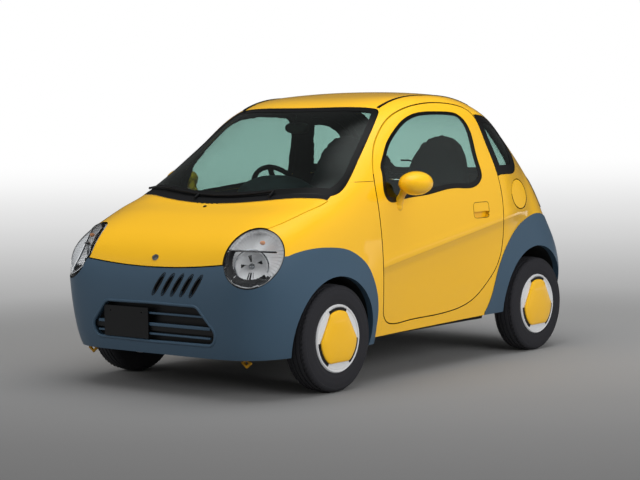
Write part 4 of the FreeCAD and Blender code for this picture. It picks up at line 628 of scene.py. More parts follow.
def in_handle(place):
    (rear, front), (bottom, top), inner = HANDLE_ROOM
    return rear < place.x < front and bottom < place.z < top and abs(place.y) > inner


class MICROCAR_OT_shell(bpy.types.Operator):
    """Paint the body panels outside and line them inside"""
    bl_idname = "microcar.shell"
    bl_label = "Body shell"

    def execute(self, context):
        edge_of = {"hatch_frame": -0.3, "fuel_lid": -0.2, "rear_panel": -0.2}
        for node in SHELL_NODES:
            mesh = merged_mesh(node)
            inner = {
                f.index for f in mesh.polygons if outwardness(f.center, f.normal) < edge_of.get(node, 0.22)
                and not (node.startswith("door") and in_handle(f.center))
            }
            painted = moulded_abs if node == "hatch_frame" else clear_coated_enamel
            if node.startswith(("door", "body_side")):
                painted = creased_enamel
            piece = new_piece(node + "_panel", mesh, body_of(node), [painted, cabin_lining], [node])
            for face in piece.data.polygons:
                face.material_index = 1 if face.index in inner else 0
        for node in ("front_bumper", "rear_bumper"):
            dress(node, "bumper_plastic", satin_polypropylene)
        for node in ("mirror_left", "mirror_right"):
            dress(node, "body_paint", clear_coated_enamel)
        for node in ("cowl", "grille", "front_board", "rear_board", "filler_cap", "inner_mirror", "fuel_tank"):
            dress(node, "black_plastic", moulded_abs)
        dress("tow_hooks", "hook_paint", yellow_primer)
        for node in ("floor_pan", "front_frame", "front_housings", "rear_housings", "front_subframe", "rear_axle"):
            dress(node, "underbody", underseal)
        dress("rear_lining", "dash_plastic", cabin_lining)
        for node in ("engine", "knuckle_left", "knuckle_right"):
            dress(node, "iron", sooty_iron)
        dress("exhaust", "steel", aluminised_pipe)
        return {"FINISHED"}


# Glass

PANES = [
    ("windscreen", None), ("door_glass_left", None), ("door_glass_right", None), ("quarter_windows", 1),
    ("quarter_windows", -1), ("hatch_glass", None),
]


# The baked border is drawn this far in front of the glass, so that it shows from outside and inside
BORDER_PROUD = 0.0008


class MICROCAR_OT_glass(bpy.types.Operator):
    """Glaze the car, with the black borders baked on the glass and the seals round it"""
    bl_idname = "microcar.glass"
    bl_label = "Glass and seals"

    def execute(self, context):
        for node in sorted({node for node, half in PANES}):
            dress(node, "glass_green", float_glass)
        for node, half in PANES:
            self.border(node, half)
        return {"FINISHED"}

    def border(self, node, half):
        name = node + {None: "", 1: "_left", -1: "_right"}[half]
        pane = pane_face(node, False, half)
        rim = spaced(boundary_loops(pane)[0], 0.012)
        tube(name + "_seal", rim, sizes().seal, body_of(node), seal_rubber)
        distance = edge_distance(pane)
        refine(pane, 0.016)
        low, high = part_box(node)
        sides = {"quarter_windows": sizes().quarter_border, "hatch_glass": sizes().quarter_border}

        def width(place):
            if node != "windscreen":
                return sides.get(node, sizes().border)
            foot = max(0.0, 1 - (place.z - low.z) / (high.z - low.z) * 4)
            return sizes().screen_border + (sizes().screen_foot - sizes().screen_border) * foot

        cut_to(pane, lambda place: width(place) - distance(place))
        pane.normal_update()
        for vert in pane.verts:
            vert.co += vert.normal * BORDER_PROUD
        shaped(name + "_border", pane, body_of(node), [baked_border])


# Wheels

WHEEL_PLACES = ("front_left", "front_right", "rear_left", "rear_right")
# Half of the tyre's section, as shares of the height from the rim to the tread and of the half width
TYRE_SECTION_SHARES = [
    (0.02, 0.76), (0.10, 0.86), (0.20, 0.935), (0.30, 0.965), (0.34, 0.985), (0.37, 0.975), (0.52, 1.0), (0.66, 0.985),
    (0.78, 0.94), (0.80, 0.955), (0.84, 0.935), (0.90, 0.87), (0.945, 0.80), (0.97, 0.74),
]
# Tread from shoulder to middle, as shares of the half width, with 1 where a groove runs round
TREAD_SHARES = [(0.70, 0), (0.56, 0), (0.55, 1), (0.49, 1), (0.48, 0), (0.24, 0), (0.23, 1), (0.15, 1), (0.14, 0), (0.0, 0)]
CAP_TIP_SHARE = 0.84
CAP_TIP_HALF = math.radians(27)


class MICROCAR_OT_wheels(bpy.types.Operator):
    """Make the treaded tyres and the wheel trims with their three-cornered caps"""
    bl_idname = "microcar.wheels"
    bl_label = "Wheels"

    def execute(self, context):
        for place in WHEEL_PLACES:
            outward = 1 if place.endswith("left") else -1
            self.tyre(place, outward)
            self.trim(place, outward)
        return {"FINISHED"}

    def tyre(self, place, outward):
        low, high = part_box("tyre_" + place)
        centre = (low + high) / 2
        radius = (high.z - low.z) / 2
        half = (high.y - low.y) / 2
        rim = (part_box("wheel_" + place)[1].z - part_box("wheel_" + place)[0].z) / 2 * 0.94
        depth = sizes().tread_depth
        section = [(rim + (radius - rim) * up, half * wide) for up, wide in TYRE_SECTION_SHARES]
        crown = [(radius - 0.006 * (wide / 0.7) ** 2 - depth * groove, half * wide) for wide, groove in TREAD_SHARES]
        line = section + crown
        line += [(r, -y) for r, y in reversed(line[:-1])]
        bm = bmesh.new()
        steps = sizes().tread_pitches * 4
        turned(bm, line, centre, steps, outward)
        shoulder = half * 0.5
        for vert in bm.verts:
            arm = vert.co - centre
            turn = round(math.atan2(arm.x, arm.z) / math.tau * steps)
            reach = math.hypot(arm.x, arm.z)
            across = abs(arm.y)
            slanted = turn + round(across / half * 6) * (1 if arm.y > 0 else -1)
            if slanted % 4 == 0 and shoulder < across < half * 0.86 and reach > radius - 0.014:
                share = 1 - depth * 0.8 / reach
                vert.co.x = centre.x + arm.x * share
                vert.co.z = centre.z + arm.z * share
        shaped("tyre_" + place + "_treaded", bm, body_of("tyre_" + place), [tyre_rubber],
               ["tyre_" + place])

    def trim(self, place, outward):
        wheel = "wheel_" + place
        body = body_of(wheel)
        low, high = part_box(wheel)
        centre = middle("tyre_" + place)
        radius = (high.z - low.z) / 2
        face = abs((high.y if outward > 0 else low.y) - centre.y)
        dress(wheel, "wheel_silver", silver_lacquer)
        bm = bmesh.new()
        line = [(radius * 1.01, face - 0.012), (radius * 1.015, face - 0.002), (radius * 0.985, face + 0.004),
                (radius * 0.95, face + 0.003), (radius * 0.92, face - 0.002), (radius * 0.80, face + 0.001),
                (radius * 0.55, face + 0.004), (0.0, face + 0.005)]
        turned(bm, line, centre, 72, outward)
        shaped("trim_" + place, bm, body, [silver_lacquer])
        self.slots(place, body, centre, radius, face, outward)
        self.cap(place, body, centre, radius, face, outward)

    def slots(self, place, body, centre, radius, face, outward):
        """Lay black plates on the trim between the cap's tips and the rim: painted shade standing in for the openings
        there.
        """
        bm = bmesh.new()
        count = 12
        for tip in range(3):
            turn = math.tau * tip / 3
            inner = radius * (CAP_TIP_SHARE - 0.02)
            outer = radius * 0.925
            arc = [turn - CAP_TIP_HALF * 0.96 + CAP_TIP_HALF * 1.92 * i / count for i in range(count + 1)]
            line = [(r * math.sin(a), r * math.cos(a)) for r, a in
                    [(inner, a) for a in arc] + [(outer, a) for a in reversed(arc)]]
            verts = [bm.verts.new(centre + Vector((x, (face + 0.0015) * outward, z))) for x, z in line]
            plate = bm.faces.new(verts)
            raised = bmesh.ops.extrude_face_region(bm, geom=[plate])["geom"]
            bmesh.ops.translate(bm, vec=(0, 0.002 * outward, 0), verts=[g for g in raised if
                                                                          isinstance(g, bmesh.types.BMVert)])
        bmesh.ops.recalc_face_normals(bm, faces=bm.faces)
        shaped("painted_shade_openings_" + place, bm, body, [moulded_abs])

    def cap(self, place, body, centre, radius, face, outward):
        """Make the domed yellow cap: a triangle with its three tips cut off by an arc."""
        bm = bmesh.new()
        tip_radius = radius * CAP_TIP_SHARE
        turns = []
        for tip in range(3):
            middle_turn = math.tau * tip / 3
            turns += [middle_turn - CAP_TIP_HALF + CAP_TIP_HALF * 2 * i / 6 for i in range(7)]
        corners = [Vector((tip_radius * math.sin(a), 0, tip_radius * math.cos(a))) for a in turns]
        outline = []
        for a, b in zip(corners, corners[1:] + corners[:1]):
            count = max(1, round((b - a).length / 0.011))
            outline += [a.lerp(b, i / count) for i in range(count)]
        base = centre + Vector((0, (face + 0.003) * outward, 0))
        verts = [bm.verts.new(base + p) for p in outline]
        edges = [bm.edges.new(pair) for pair in zip(verts, verts[1:] + verts[:1])]
        bmesh.ops.smooth_vert(bm, verts=verts, factor=0.5, use_axis_x=True, use_axis_z=True)
        rise = [(1.0, 0.004), (0.99, 0.0025), (0.965, 0.002), (0.90, 0.0022), (0.75, 0.0030), (0.5, 0.0025),
                (0.22, 0.0012)]
        last = stepped(bm, edges, base, [(share, Vector((0, up * outward, 0))) for share, up in rise])
        bmesh.ops.edgeloop_fill(bm, edges=last)
        bmesh.ops.edgeloop_fill(bm, edges=edges)
        bmesh.ops.recalc_face_normals(bm, faces=bm.faces)
        shaped("cap_" + place, bm, body, [clear_coated_enamel], ["hubcap_" + place])


# Lamps

LAMP_TURN = math.radians(40)
DIVIDER_UP = 0.034


class MICROCAR_OT_lamps(bpy.types.Operator):
    """Make the headlamps with their reflectors, and the tail lamps"""
    bl_idname = "microcar.lamps"
    bl_label = "Lamps"

    def execute(self, context):
        for side, half in (("left", 1), ("right", -1)):
            self.headlamp(side, half)
            self.tail_lamp(side, half)
        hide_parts("headlamps")
        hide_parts("tail_lamps")
        return {"FINISHED"}

    def headlamp(self, side, half):
        way = Vector((math.cos(LAMP_TURN), half * math.sin(LAMP_TURN), 0))
        sideways = Vector((-math.sin(LAMP_TURN) * half, math.cos(LAMP_TURN), 0)) * half
        skin = merged_mesh("headlamps", lambda place, normal: place.y * half > 0 and normal.dot(way) > 0.15)
        bm = bmesh.new()
        bm.from_mesh(skin)
        rim = spaced(boundary_loops(bm)[0], 0.010)
        tube("headlamp_gasket_" + side, rim, 0.0032, "body", seal_rubber)
        bm.free()
        lens = new_piece("headlamp_lens_" + side, skin, "body", [lamp_polycarbonate])
        wall = lens.modifiers.new("Wall", "SOLIDIFY")
        wall.thickness = sizes().lens_wall
        wall.offset = -1
        centre = sum(rim, Vector()) / len(rim)
        self.bowl(side, rim, centre, way, sideways)
        return lens

    def bowl(self, side, rim, centre, way, sideways):
        """Line the lamp's room: ribbed wall, bright upper reflector, dark lower faces as painted shade, and the faceted
        round bowl.
        """
        count = len(rim) * 2 // 4 * 4
        line = rim + rim[:1]
        inner = []
        for i in range(count):
            at = i * len(rim) / count
            p = line[int(at)].lerp(line[int(at) + 1], at % 1)
            rib = 0.0030 if i % 4 < 2 else 0.0
            inner.append(p + (centre - p).normalized() * (0.004 + rib) - way * 0.006)
        bm = bmesh.new()
        verts = [bm.verts.new(p) for p in inner]
        edges = [bm.edges.new(pair) for pair in zip(verts, verts[1:] + verts[:1])]
        start = sum(inner, Vector()) / len(inner)
        last = stepped(bm, edges, start, [(0.98, -way * 0.012), (0.92, -way * 0.014), (0.86, -way * 0.010),
                                          (0.74, -way * 0.008), (0.5, -way * 0.010), (0.2, -way * 0.006)])
        bmesh.ops.edgeloop_fill(bm, edges=last)
        bmesh.ops.recalc_face_normals(bm, faces=bm.faces)
        reflector = shaped("headlamp_reflector_" + side, bm, "body", [aluminised_reflector, bezel_and_painted_shade],
                           sharp=math.radians(12))
        # The lowest faces, and the lower faces on the side towards the car's middle, take the dark bezel finish:
        # painted shade
        for face in reflector.data.polygons:
            arm = face.center - centre
            if arm.z < -0.080 or arm.z < DIVIDER_UP and arm.dot(sideways) < -0.088:
                face.material_index = 1
        # The lower bowl: a chrome ring with a step back, and facets, whose lowest faces and every fourth facet of a
        # middle band are painted shade and painted dark reflections
        spot = centre - Vector((0, 0, 0.036)) - way * 0.008 - sideways * 0.010
        axis = way.to_track_quat("Z", "Y").to_matrix().to_4x4()
        bm = bmesh.new()
        ring = bmesh.ops.create_circle(bm, segments=36, radius=0.080, matrix=Matrix.Translation(spot) @ axis)["verts"]
        edges = list({e for v in ring for e in v.link_edges})
        stepped(bm, edges, spot, [(1.03, way * 0.004), (0.98, way * 0.003), (0.94, -way * 0.003), (0.93, -way * 0.012)])
        bmesh.ops.recalc_face_normals(bm, faces=bm.faces)
        shaped("headlamp_ring_" + side, bm, "body", [bright_chrome])
        bm = bmesh.new()
        ring = bmesh.ops.create_circle(bm, segments=18, radius=0.074, matrix=Matrix.Translation(spot - way * 0.006) @ axis)
        edges = list({e for v in ring["verts"] for e in v.link_edges})
        last = stepped(bm, edges, spot, [(0.90, -way * 0.012), (0.70, -way * 0.014), (0.48, -way * 0.010),
                                         (0.24, -way * 0.006)])
        bmesh.ops.edgeloop_fill(bm, edges=last)
        bowl = shaped("headlamp_bowl_" + side, bm, "body", [aluminised_reflector, bezel_and_painted_shade],
                      sharp=math.radians(4))
        # The lowest faces take the dark bezel finish as painted shade, and every fourth facet of a middle band as a
        # painted dark reflection
        for face in bowl.data.polygons:
            arm = face.center - spot
            reach = (arm - way * arm.dot(way)).length
            turn = round(math.atan2(arm.z, arm.dot(sideways)) / math.tau * 18)
            if arm.z < -0.058 or (0.016 < reach < 0.045 and turn % 4 == 1):
                face.material_index = 1
        # Bulb and its shade in the middle of the bowl
        bm = bmesh.new()
        place = Matrix.Translation(spot - way * 0.022) @ axis
        bmesh.ops.create_cone(bm, cap_ends=True, segments=20, radius1=0.011, radius2=0.015, depth=0.034, matrix=place)
        bmesh.ops.bevel(bm, geom=bm.edges[:], offset=0.002, segments=2, profile=0.5, affect="EDGES", material=-1)
        shaped("headlamp_bulb_" + side, bm, "body", [bright_chrome])
        # The dark line between the two rooms, and the bright edge above it
        turn = Matrix((sideways, way, Vector((0, 0, 1)))).transposed().to_4x4()
        lie = Matrix.Translation(centre + Vector((0, 0, DIVIDER_UP))) @ turn @ Matrix.Rotation(math.radians(3), 4, "Y")
        for name, low, high, material in (
                ("divider", (-0.112, -0.010, -0.0030), (0.108, 0.010, 0.0030), bezel_and_painted_shade),
                ("divider_edge", (-0.108, -0.008, 0.0032), (0.104, 0.011, 0.0060), bright_chrome)):
            bm = bmesh.new()
            rounded_block(bm, low, high, 0.0012)
            bmesh.ops.transform(bm, matrix=lie, verts=bm.verts)
            shaped("headlamp_" + name + "_" + side, bm, "body",
                   [material])
        # The turn signal's amber bulb
        bm = bmesh.new()
        spot = centre + Vector((0, 0, 0.072)) + sideways * 0.042 - way * 0.030
        bmesh.ops.create_uvsphere(bm, u_segments=20, v_segments=12, radius=0.013, matrix=Matrix.Translation(spot))
        bmesh.ops.scale(bm, vec=(1, 1, 0.8), verts=bm.verts, space=Matrix.Translation(-spot))
        shaped("signal_bulb_" + side, bm, "body", [amber_bulb])

    def tail_lamp(self, side, half):
        skin = merged_mesh("tail_lamps", lambda place, normal: place.y * half > 0)
        new_piece("tail_lens_" + side, skin, "body", [red_acrylic])
        face = bmesh.new()
        way = Vector((-0.766, 0.643 * half, 0))
        face.from_mesh(merged_mesh("tail_lamps", lambda place, normal: place.y * half > 0 and normal.dot(way) > 0.3))
        rim = spaced(boundary_loops(face)[0], 0.008)
        tube("tail_gasket_" + side, rim, 0.003, "body", seal_rubber)
        face.free()


# Trim

AHEAD_OF_NOSE = 1.45
SLOT_COUNT = 5
SLOT_FIRST_Y = 0.019
SLOT_PITCH = 0.061
SLOT_LEAN = 0.072
SLOT_LOW, SLOT_HIGH = 0.485, 0.590
SLOT_HALF = 0.0175
# The air intake's outline for positive y, and how far its corners are rounded
INTAKE_CORNERS = [(0.300, 0.442), (0.413, 0.320), (0.385, 0.258)]
INTAKE_ROUND = 0.048
LIP_OUT = 0.004
SEAM_RADIUS = 0.0013
HANDLE_CORNERS = [(-0.369, 0.854), (-0.369, 0.770), (-0.515, 0.770), (-0.515, 0.854)]
HANDLE_ROUND = 0.024


def surface(*nodes):
    """Return a search tree of some CAD nodes' faces."""
    verts, faces = [], []
    for node in nodes:
        mesh = NODES[node].data
        start = len(verts)
        verts += [v.co for v in mesh.vertices]
        faces += [[start + i for i in f.vertices] for f in mesh.polygons]
    return BVHTree.FromPolygons(verts, faces)


def rounded_line(corners, radius, steps=6):
    """Return a closed line of 2-D corners with each corner rounded."""
    line = []
    for before, corner, after in zip(corners[-1:] + corners[:-1], corners, corners[1:] + corners[:1]):
        into, out = (Vector(before) - Vector(corner)).normalized(), (Vector(after) - Vector(corner)).normalized()
        reach = radius / math.tan(into.angle(out) / 2)
        bend, first, last = Vector(corner), Vector(corner) + into * reach, Vector(corner) + out * reach
        line += [first.lerp(bend, i / steps).lerp(bend.lerp(last, i / steps), i / steps) for i in range(steps + 1)]
    return line


def laid(tree, line, way, lift=0.0):
    """Lay a line of places on a surface, looking along a way."""
    result = []
    for place in line:
        hit, normal, _, _ = tree.ray_cast(place - way * OUT_OF_SIGHT, way)
        if hit:
            result.append(hit + normal * (lift if normal.dot(way) < 0 else -lift))
    return result


class MICROCAR_OT_trim(bpy.types.Operator):
    """Add the small trim: emblem, nozzle, aerial, strips, seams, slot and intake lips, mirrors' glass, rear fittings"""
    bl_idname = "microcar.trim"
    bl_label = "Small trim"

    def execute(self, context):
        shell = surface("bonnet", "roof", "body_side_left", "body_side_right")
        self.emblem(shell)
        self.nozzle(shell)
        self.aerial(shell)
        self.slots()
        self.intake()
        for side, half in (("left", 1), ("right", -1)):
            self.roof_strip(shell, side, half)
            self.seams(side, half)
            self.mirror(side, half)
        self.rear()
        return {"FINISHED"}

    def slots(self):
        """Set a black leaf-shaped lip into each of the slots beside the emblem."""
        nose = surface("front_bumper")
        back = Vector((-1, 0, 0))
        for i in range(SLOT_COUNT):
            foot = SLOT_FIRST_Y + SLOT_PITCH * i
            bm = bmesh.new()
            lines = []
            for wide, lift in ((1.0, -0.004), (1.0, 0.0010), (0.92, 0.0016), (0.52, 0.0012), (0.44, -0.008)):
                line = []
                for k in range(28):
                    turn = math.tau * k / 28
                    up = (1 - math.cos(turn)) / 2
                    side = math.copysign(abs(math.sin(turn)) ** 0.85, math.sin(turn)) * SLOT_HALF * wide
                    line.append(Vector((0, foot + SLOT_LEAN * up + side,
                                        SLOT_LOW - 0.004 + (SLOT_HIGH - SLOT_LOW + 0.008) * (0.5 + (up - 0.5) * (0.9 + 0.1 * wide)))))
                lines.append((line, lift))
            rings = []
            starts = [Vector((AHEAD_OF_NOSE, p.y, p.z)) for p in lines[0][0]]
            depths = [(nose.ray_cast(p, back)[0] or nose.find_nearest(p)[0]).x for p in starts]
            for line, lift in lines:
                across = (1 - (line[7] - line[21]).length / (lines[0][0][7] - lines[0][0][21]).length) / 2
                at = [depths[k] * (1 - across) + depths[-k] * across for k in range(28)]
                rings.append([bm.verts.new(Vector((x + lift, p.y, p.z))) for x, p in zip(at, line)])
            for one, two in zip(rings, rings[1:]):
                for k in range(28):
                    bm.faces.new((one[k - 1], one[k], two[k], two[k - 1]))
            bm.faces.new(rings[-1])
            bmesh.ops.recalc_face_normals(bm, faces=bm.faces)
            shaped(f"slot_lip_{i + 1}", bm, "body", [moulded_abs])

    def intake(self):
        """Round off the intake's edge with a moulded lip, and lay the slate bars across the grille."""
        nose = surface("front_bumper")
        corners = [Vector(c) for c in INTAKE_CORNERS] + [Vector((-y, z)) for y, z in reversed(INTAKE_CORNERS)]
        line = [Vector((0, p.x, p.y)) for p in rounded_line(corners, INTAKE_ROUND)]
        middle_place = Vector((0, 0, 0.345))
        line = [p + (p - middle_place).normalized() * LIP_OUT for p in spaced(line, 0.012)]
        lip = laid(nose, line, Vector((-1, 0, 0)), -0.004)
        tube("intake_lip", lip, 0.0085, "body", satin_polypropylene)
        low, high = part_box("grille")
        for i, (up, tall) in enumerate(((0.338, 0.008), (0.392, 0.005), (0.292, 0.005))):
            bm = bmesh.new()
            half = 0.375 if i != 1 else 0.330
            rounded_block(bm, (high.x - 0.012, -half, up - tall), (high.x + 0.004, half, up + tall), 0.003)
            shaped(f"grille_bar_{i + 1}", bm, "body", [satin_polypropylene])

    def seams(self, side, half):
        """Draw the joint between fender and pillar, and the outline of the door's handle."""
        flank = surface("body_side_" + side, "fender_" + side, "door_" + side)
        inward = Vector((0, -half, 0))
        line = [Vector((0.462 + 0.118 * i / 10, 0, 1.0)) for i in range(11)]
        tube("pillar_seam_" + side, laid(flank, line, inward, 0.0), SEAM_RADIUS, "body", seal_rubber, False)
        outline = [Vector((p.x, 0, p.y)) for p in rounded_line([Vector(c) for c in HANDLE_CORNERS], HANDLE_ROUND)]
        tube("handle_edge_" + side, laid(surface("door_" + side), spaced(outline, 0.008), inward, 0.0), SEAM_RADIUS,
             body_of("door_" + side), seal_rubber)

    def mirror(self, side, half):
        """Give the outside mirror its glass and the round foot on the door."""
        low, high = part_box("mirror_" + side)
        body = body_of("mirror_" + side)
        bm = bmesh.new()
        bmesh.ops.create_circle(bm, cap_ends=True, segments=40, radius=1.0)
        bmesh.ops.scale(bm, vec=(0.058, 0.042, 1), verts=bm.verts)
        raised = bmesh.ops.extrude_face_region(bm, geom=bm.faces[:])["geom"]
        bmesh.ops.translate(bm, vec=(0, 0, 0.003), verts=[g for g in raised if isinstance(g, bmesh.types.BMVert)])
        bmesh.ops.recalc_face_normals(bm, faces=bm.faces)
        bmesh.ops.bevel(bm, geom=[e for e in bm.edges if abs(e.verts[0].co.z - e.verts[1].co.z) < MERGE], offset=0.001,
                        segments=2, profile=0.5, affect="EDGES", material=-1)
        turn = Vector((-1, 0, 0)).to_track_quat("Z", "Y").to_matrix().to_4x4()
        bmesh.ops.transform(bm, matrix=turn, verts=bm.verts)
        pod = surface("mirror_" + side)
        hit = pod.ray_cast(Vector((-0.5, 0.800 * half, 0.985)), Vector((1, 0, 0)))[0]
        bmesh.ops.translate(bm, vec=Vector((hit.x + 0.0005, 0.800 * half, 0.985)), verts=bm.verts)
        shaped("mirror_glass_" + side, bm, body, [bright_chrome])
        bm = bmesh.new()
        bmesh.ops.create_uvsphere(bm, u_segments=32, v_segments=20, radius=0.027)
        bmesh.ops.scale(bm, vec=(1.0, 0.85, 0.9), verts=bm.verts)
        bmesh.ops.translate(bm, vec=(0.280, 0.684 * half, 0.864), verts=bm.verts)
        shaped("mirror_foot_" + side, bm, body, [clear_coated_enamel])

    def rear(self):
        """Fit the rear wiper, the tailgate's grip, the number plate's lamp and the reflectors of the bumper."""
        pane = surface("hatch_glass")
        ahead = Vector((1, 0, 0))
        low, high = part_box("hatch_glass")
        foot, knee, tip = (Vector((0, y, z)) for y, z in ((0.0, low.z + 0.035), (-0.10, low.z + 0.060), (-0.30, low.z + 0.075)))
        arm = laid(pane, [foot, foot.lerp(knee, 0.5), knee], ahead, 0.014)
        blade = laid(pane, [Vector((0, -0.02 - 0.036 * i, low.z + 0.055 + 0.003 * i)) for i in range(10)], ahead, 0.006)
        tube("rear_wiper_arm", arm, 0.006, "tailgate", moulded_abs, False, [1.4, 1.1, 0.8])
        tube("rear_wiper_blade", blade, 0.0055, "tailgate", seal_rubber, False)
        frame_low, frame_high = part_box("hatch_frame")
        gate = surface("hatch_frame")
        hit = laid(gate, [Vector((0, 0, frame_low.z + 0.020))], ahead)[0]
        bm = bmesh.new()
        rounded_block(bm, (hit.x - 0.012, -0.075, hit.z - 0.013), (hit.x + 0.010, 0.075, hit.z + 0.013), 0.006, 4)
        shaped("tailgate_grip", bm, "tailgate", [moulded_abs])
        bumper = surface("rear_bumper")
        board_low, board_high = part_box("rear_board")
        hit = laid(bumper, [Vector((0, 0, board_high.z + 0.030))], ahead)[0]
        bm = bmesh.new()
        rounded_block(bm, (hit.x - 0.016, -0.045, hit.z - 0.012), (hit.x + 0.010, 0.045, hit.z + 0.012), 0.005, 3)
        shaped("plate_lamp", bm, "body", [moulded_abs])
        for side, half in (("left", 1), ("right", -1)):
            bm = bmesh.new()
            outline = rounded_line([Vector(c) for c in ((-0.045, -0.014), (0.045, -0.014), (0.045, 0.014), (-0.045, 0.014))], 0.010)
            line = laid(bumper, [Vector((0, 0.470 * half + p.x, 0.330 + p.y)) for p in outline], ahead, 0.0)
            verts = [bm.verts.new(p + Vector((0.003, 0, 0))) for p in line]
            edges = [bm.edges.new(pair) for pair in zip(verts, verts[1:] + verts[:1])]
            centre = sum(line, Vector()) / len(line)
            last = stepped(bm, edges, centre, [(1.0, Vector((-0.007, 0, 0))), (0.9, Vector((-0.002, 0, 0)))])
            bmesh.ops.edgeloop_fill(bm, edges=last)
            bmesh.ops.recalc_face_normals(bm, faces=bm.faces)
            shaped("bumper_reflector_" + side, bm, "body", [red_acrylic])

    def emblem(self, shell):
        """A plain oval ring, with nothing on it."""
        place, normal, _, _ = shell.ray_cast(Vector((OUT_OF_SIGHT, 0, 0.659)), Vector((-1, 0, 0)))
        bm = bmesh.new()
        turn = normal.to_track_quat("Z", "Y").to_matrix().to_4x4()
        bmesh.ops.create_circle(bm, segments=40, radius=0.017)
        edges = list(bm.edges)
        last = stepped(bm, edges, Vector(), [(1.0, Vector((0, 0, 0.003))), (0.95, Vector((0, 0, 0.0015))),
                                             (0.80, Vector((0, 0, 0.0))), (0.75, Vector((0, 0, -0.0015))),
                                             (0.3, Vector((0, 0, 0.0008)))])
        bmesh.ops.edgeloop_fill(bm, edges=last)
        bmesh.ops.scale(bm, vec=(1.25, 0.95, 1), verts=bm.verts)
        bmesh.ops.transform(bm, matrix=Matrix.Translation(place - normal * 0.001) @ turn, verts=bm.verts)
        bmesh.ops.recalc_face_normals(bm, faces=bm.faces)
        shaped("bonnet_emblem", bm, "bonnet", [bright_chrome])

    def nozzle(self, shell):
        place, normal, _, _ = shell.ray_cast(Vector((0.964, 0, OUT_OF_SIGHT)), Vector((0, 0, -1)))
        bm = bmesh.new()
        bmesh.ops.create_uvsphere(bm, u_segments=20, v_segments=12, radius=0.009)
        bmesh.ops.scale(bm, vec=(1.2, 1.0, 0.8), verts=bm.verts)
        bmesh.ops.translate(bm, vec=place, verts=bm.verts)
        shaped("washer_nozzle", bm, "bonnet", [moulded_abs])

    def aerial(self, shell):
        foot, normal, _, _ = shell.ray_cast(Vector((0.150, -0.445, OUT_OF_SIGHT)), Vector((0, 0, -1)))
        tip = foot + Vector((-0.085, 0, 0.032))
        base = foot + Vector((0.012, 0, -0.004))
        tube("aerial", [base, foot + Vector((-0.01, 0, 0.004)), tip], 0.005, "body", moulded_abs,
             False, [1.6, 1.2, 0.6])

    def roof_strip(self, shell, side, half):
        """Run the black strip of the roof's ditch back from the windscreen's corner."""
        points = []
        low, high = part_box("roof")
        count = 26
        for i in range(count + 1):
            x = high.x - 0.012 - (high.x - low.x - 0.02) * i / count
            hit = shell.ray_cast(Vector((x, 0.4585 * half, OUT_OF_SIGHT)), Vector((0, 0, -1)))[0]
            if hit and hit.z > low.z - 0.02:
                points.append(hit + Vector((0, 0, -0.0012)))
        taper = [max(1.0, 1.9 - 0.09 * i) for i in range(len(points))]
        tube("roof_strip_" + side, points, 0.0045, "body", seal_rubber, False, taper)


# Cabin

# Half of a seat back's outline, as shares of its half width and of its height
BACK_SHARES = [
    (0.0, 0.0), (0.90, 0.0), (0.96, 0.10), (1.0, 0.28), (0.99, 0.50), (0.95, 0.64), (0.86, 0.76), (0.72, 0.86),
    (0.54, 0.935), (0.32, 0.98), (0.0, 1.0),
]
BACK_FOOT = (-0.352, 0.490)
BACK_HEAD = (-0.562, 1.236)
BACK_THICK = 0.088
PAD_INSET = 0.012
PAD_VOXEL = 0.009
PAD_PRESSURE = 4.0
PAD_FRAMES = 20
PAD_REACH = 0.016
SEAM_HALF = 0.007
HUMP_PLACE = Vector((0.42, 0.0, 0.915))


def stuffed(name, bm, seam, zone):
    """Remesh a closed shape, puff it up as cloth under pressure, sew its seams in and part its two cloths."""
    mesh = bpy.data.meshes.new(name)
    bm.to_mesh(mesh)
    bm.free()
    piece = bpy.data.objects.new(name, mesh)
    scene = bpy.context.scene
    scene.collection.objects.link(piece)
    skin = piece.modifiers.new("Skin", "REMESH")
    skin.mode = "VOXEL"
    skin.voxel_size = PAD_VOXEL
    plain = bpy.data.meshes.new_from_object(piece.evaluated_get(bpy.context.evaluated_depsgraph_get()))
    piece.modifiers.clear()
    piece.data = plain
    start = [v.co.copy() for v in plain.vertices]
    cloth = piece.modifiers.new("Cloth", "CLOTH")
    cloth.settings.use_pressure = True
    cloth.settings.uniform_pressure_force = PAD_PRESSURE
    cloth.settings.effector_weights.gravity = 0
    cloth.point_cache.frame_end = PAD_FRAMES
    for frame_number in range(1, PAD_FRAMES + 1):
        scene.frame_set(frame_number)
    puffed = bpy.data.meshes.new_from_object(piece.evaluated_get(bpy.context.evaluated_depsgraph_get()))
    piece.modifiers.clear()
    scene.frame_set(1)
    for vert, place in zip(puffed.vertices, start):
        move = vert.co - place
        if move.length > PAD_REACH:
            vert.co = place + move.normalized() * PAD_REACH
    piece.data = puffed
    mesh = piece.data
    normals = [v.normal.copy() for v in mesh.vertices]
    for vert, normal in zip(mesh.vertices, normals):
        vert.co -= normal * 0.0055 * math.exp(-(seam(vert.co) / SEAM_HALF) ** 2)
    mesh.materials.clear()
    for material in (seat_cloth, insert_cloth):
        mesh.materials.append(material())
    for face in mesh.polygons:
        face.material_index = 1 if zone(face.center) else 0
    mesh.shade_smooth()
    mesh.name = name
    finer = piece.modifiers.new("Finer", "SUBSURF")
    finer.levels = finer.render_levels = 1
    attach(piece, "body")
    return piece


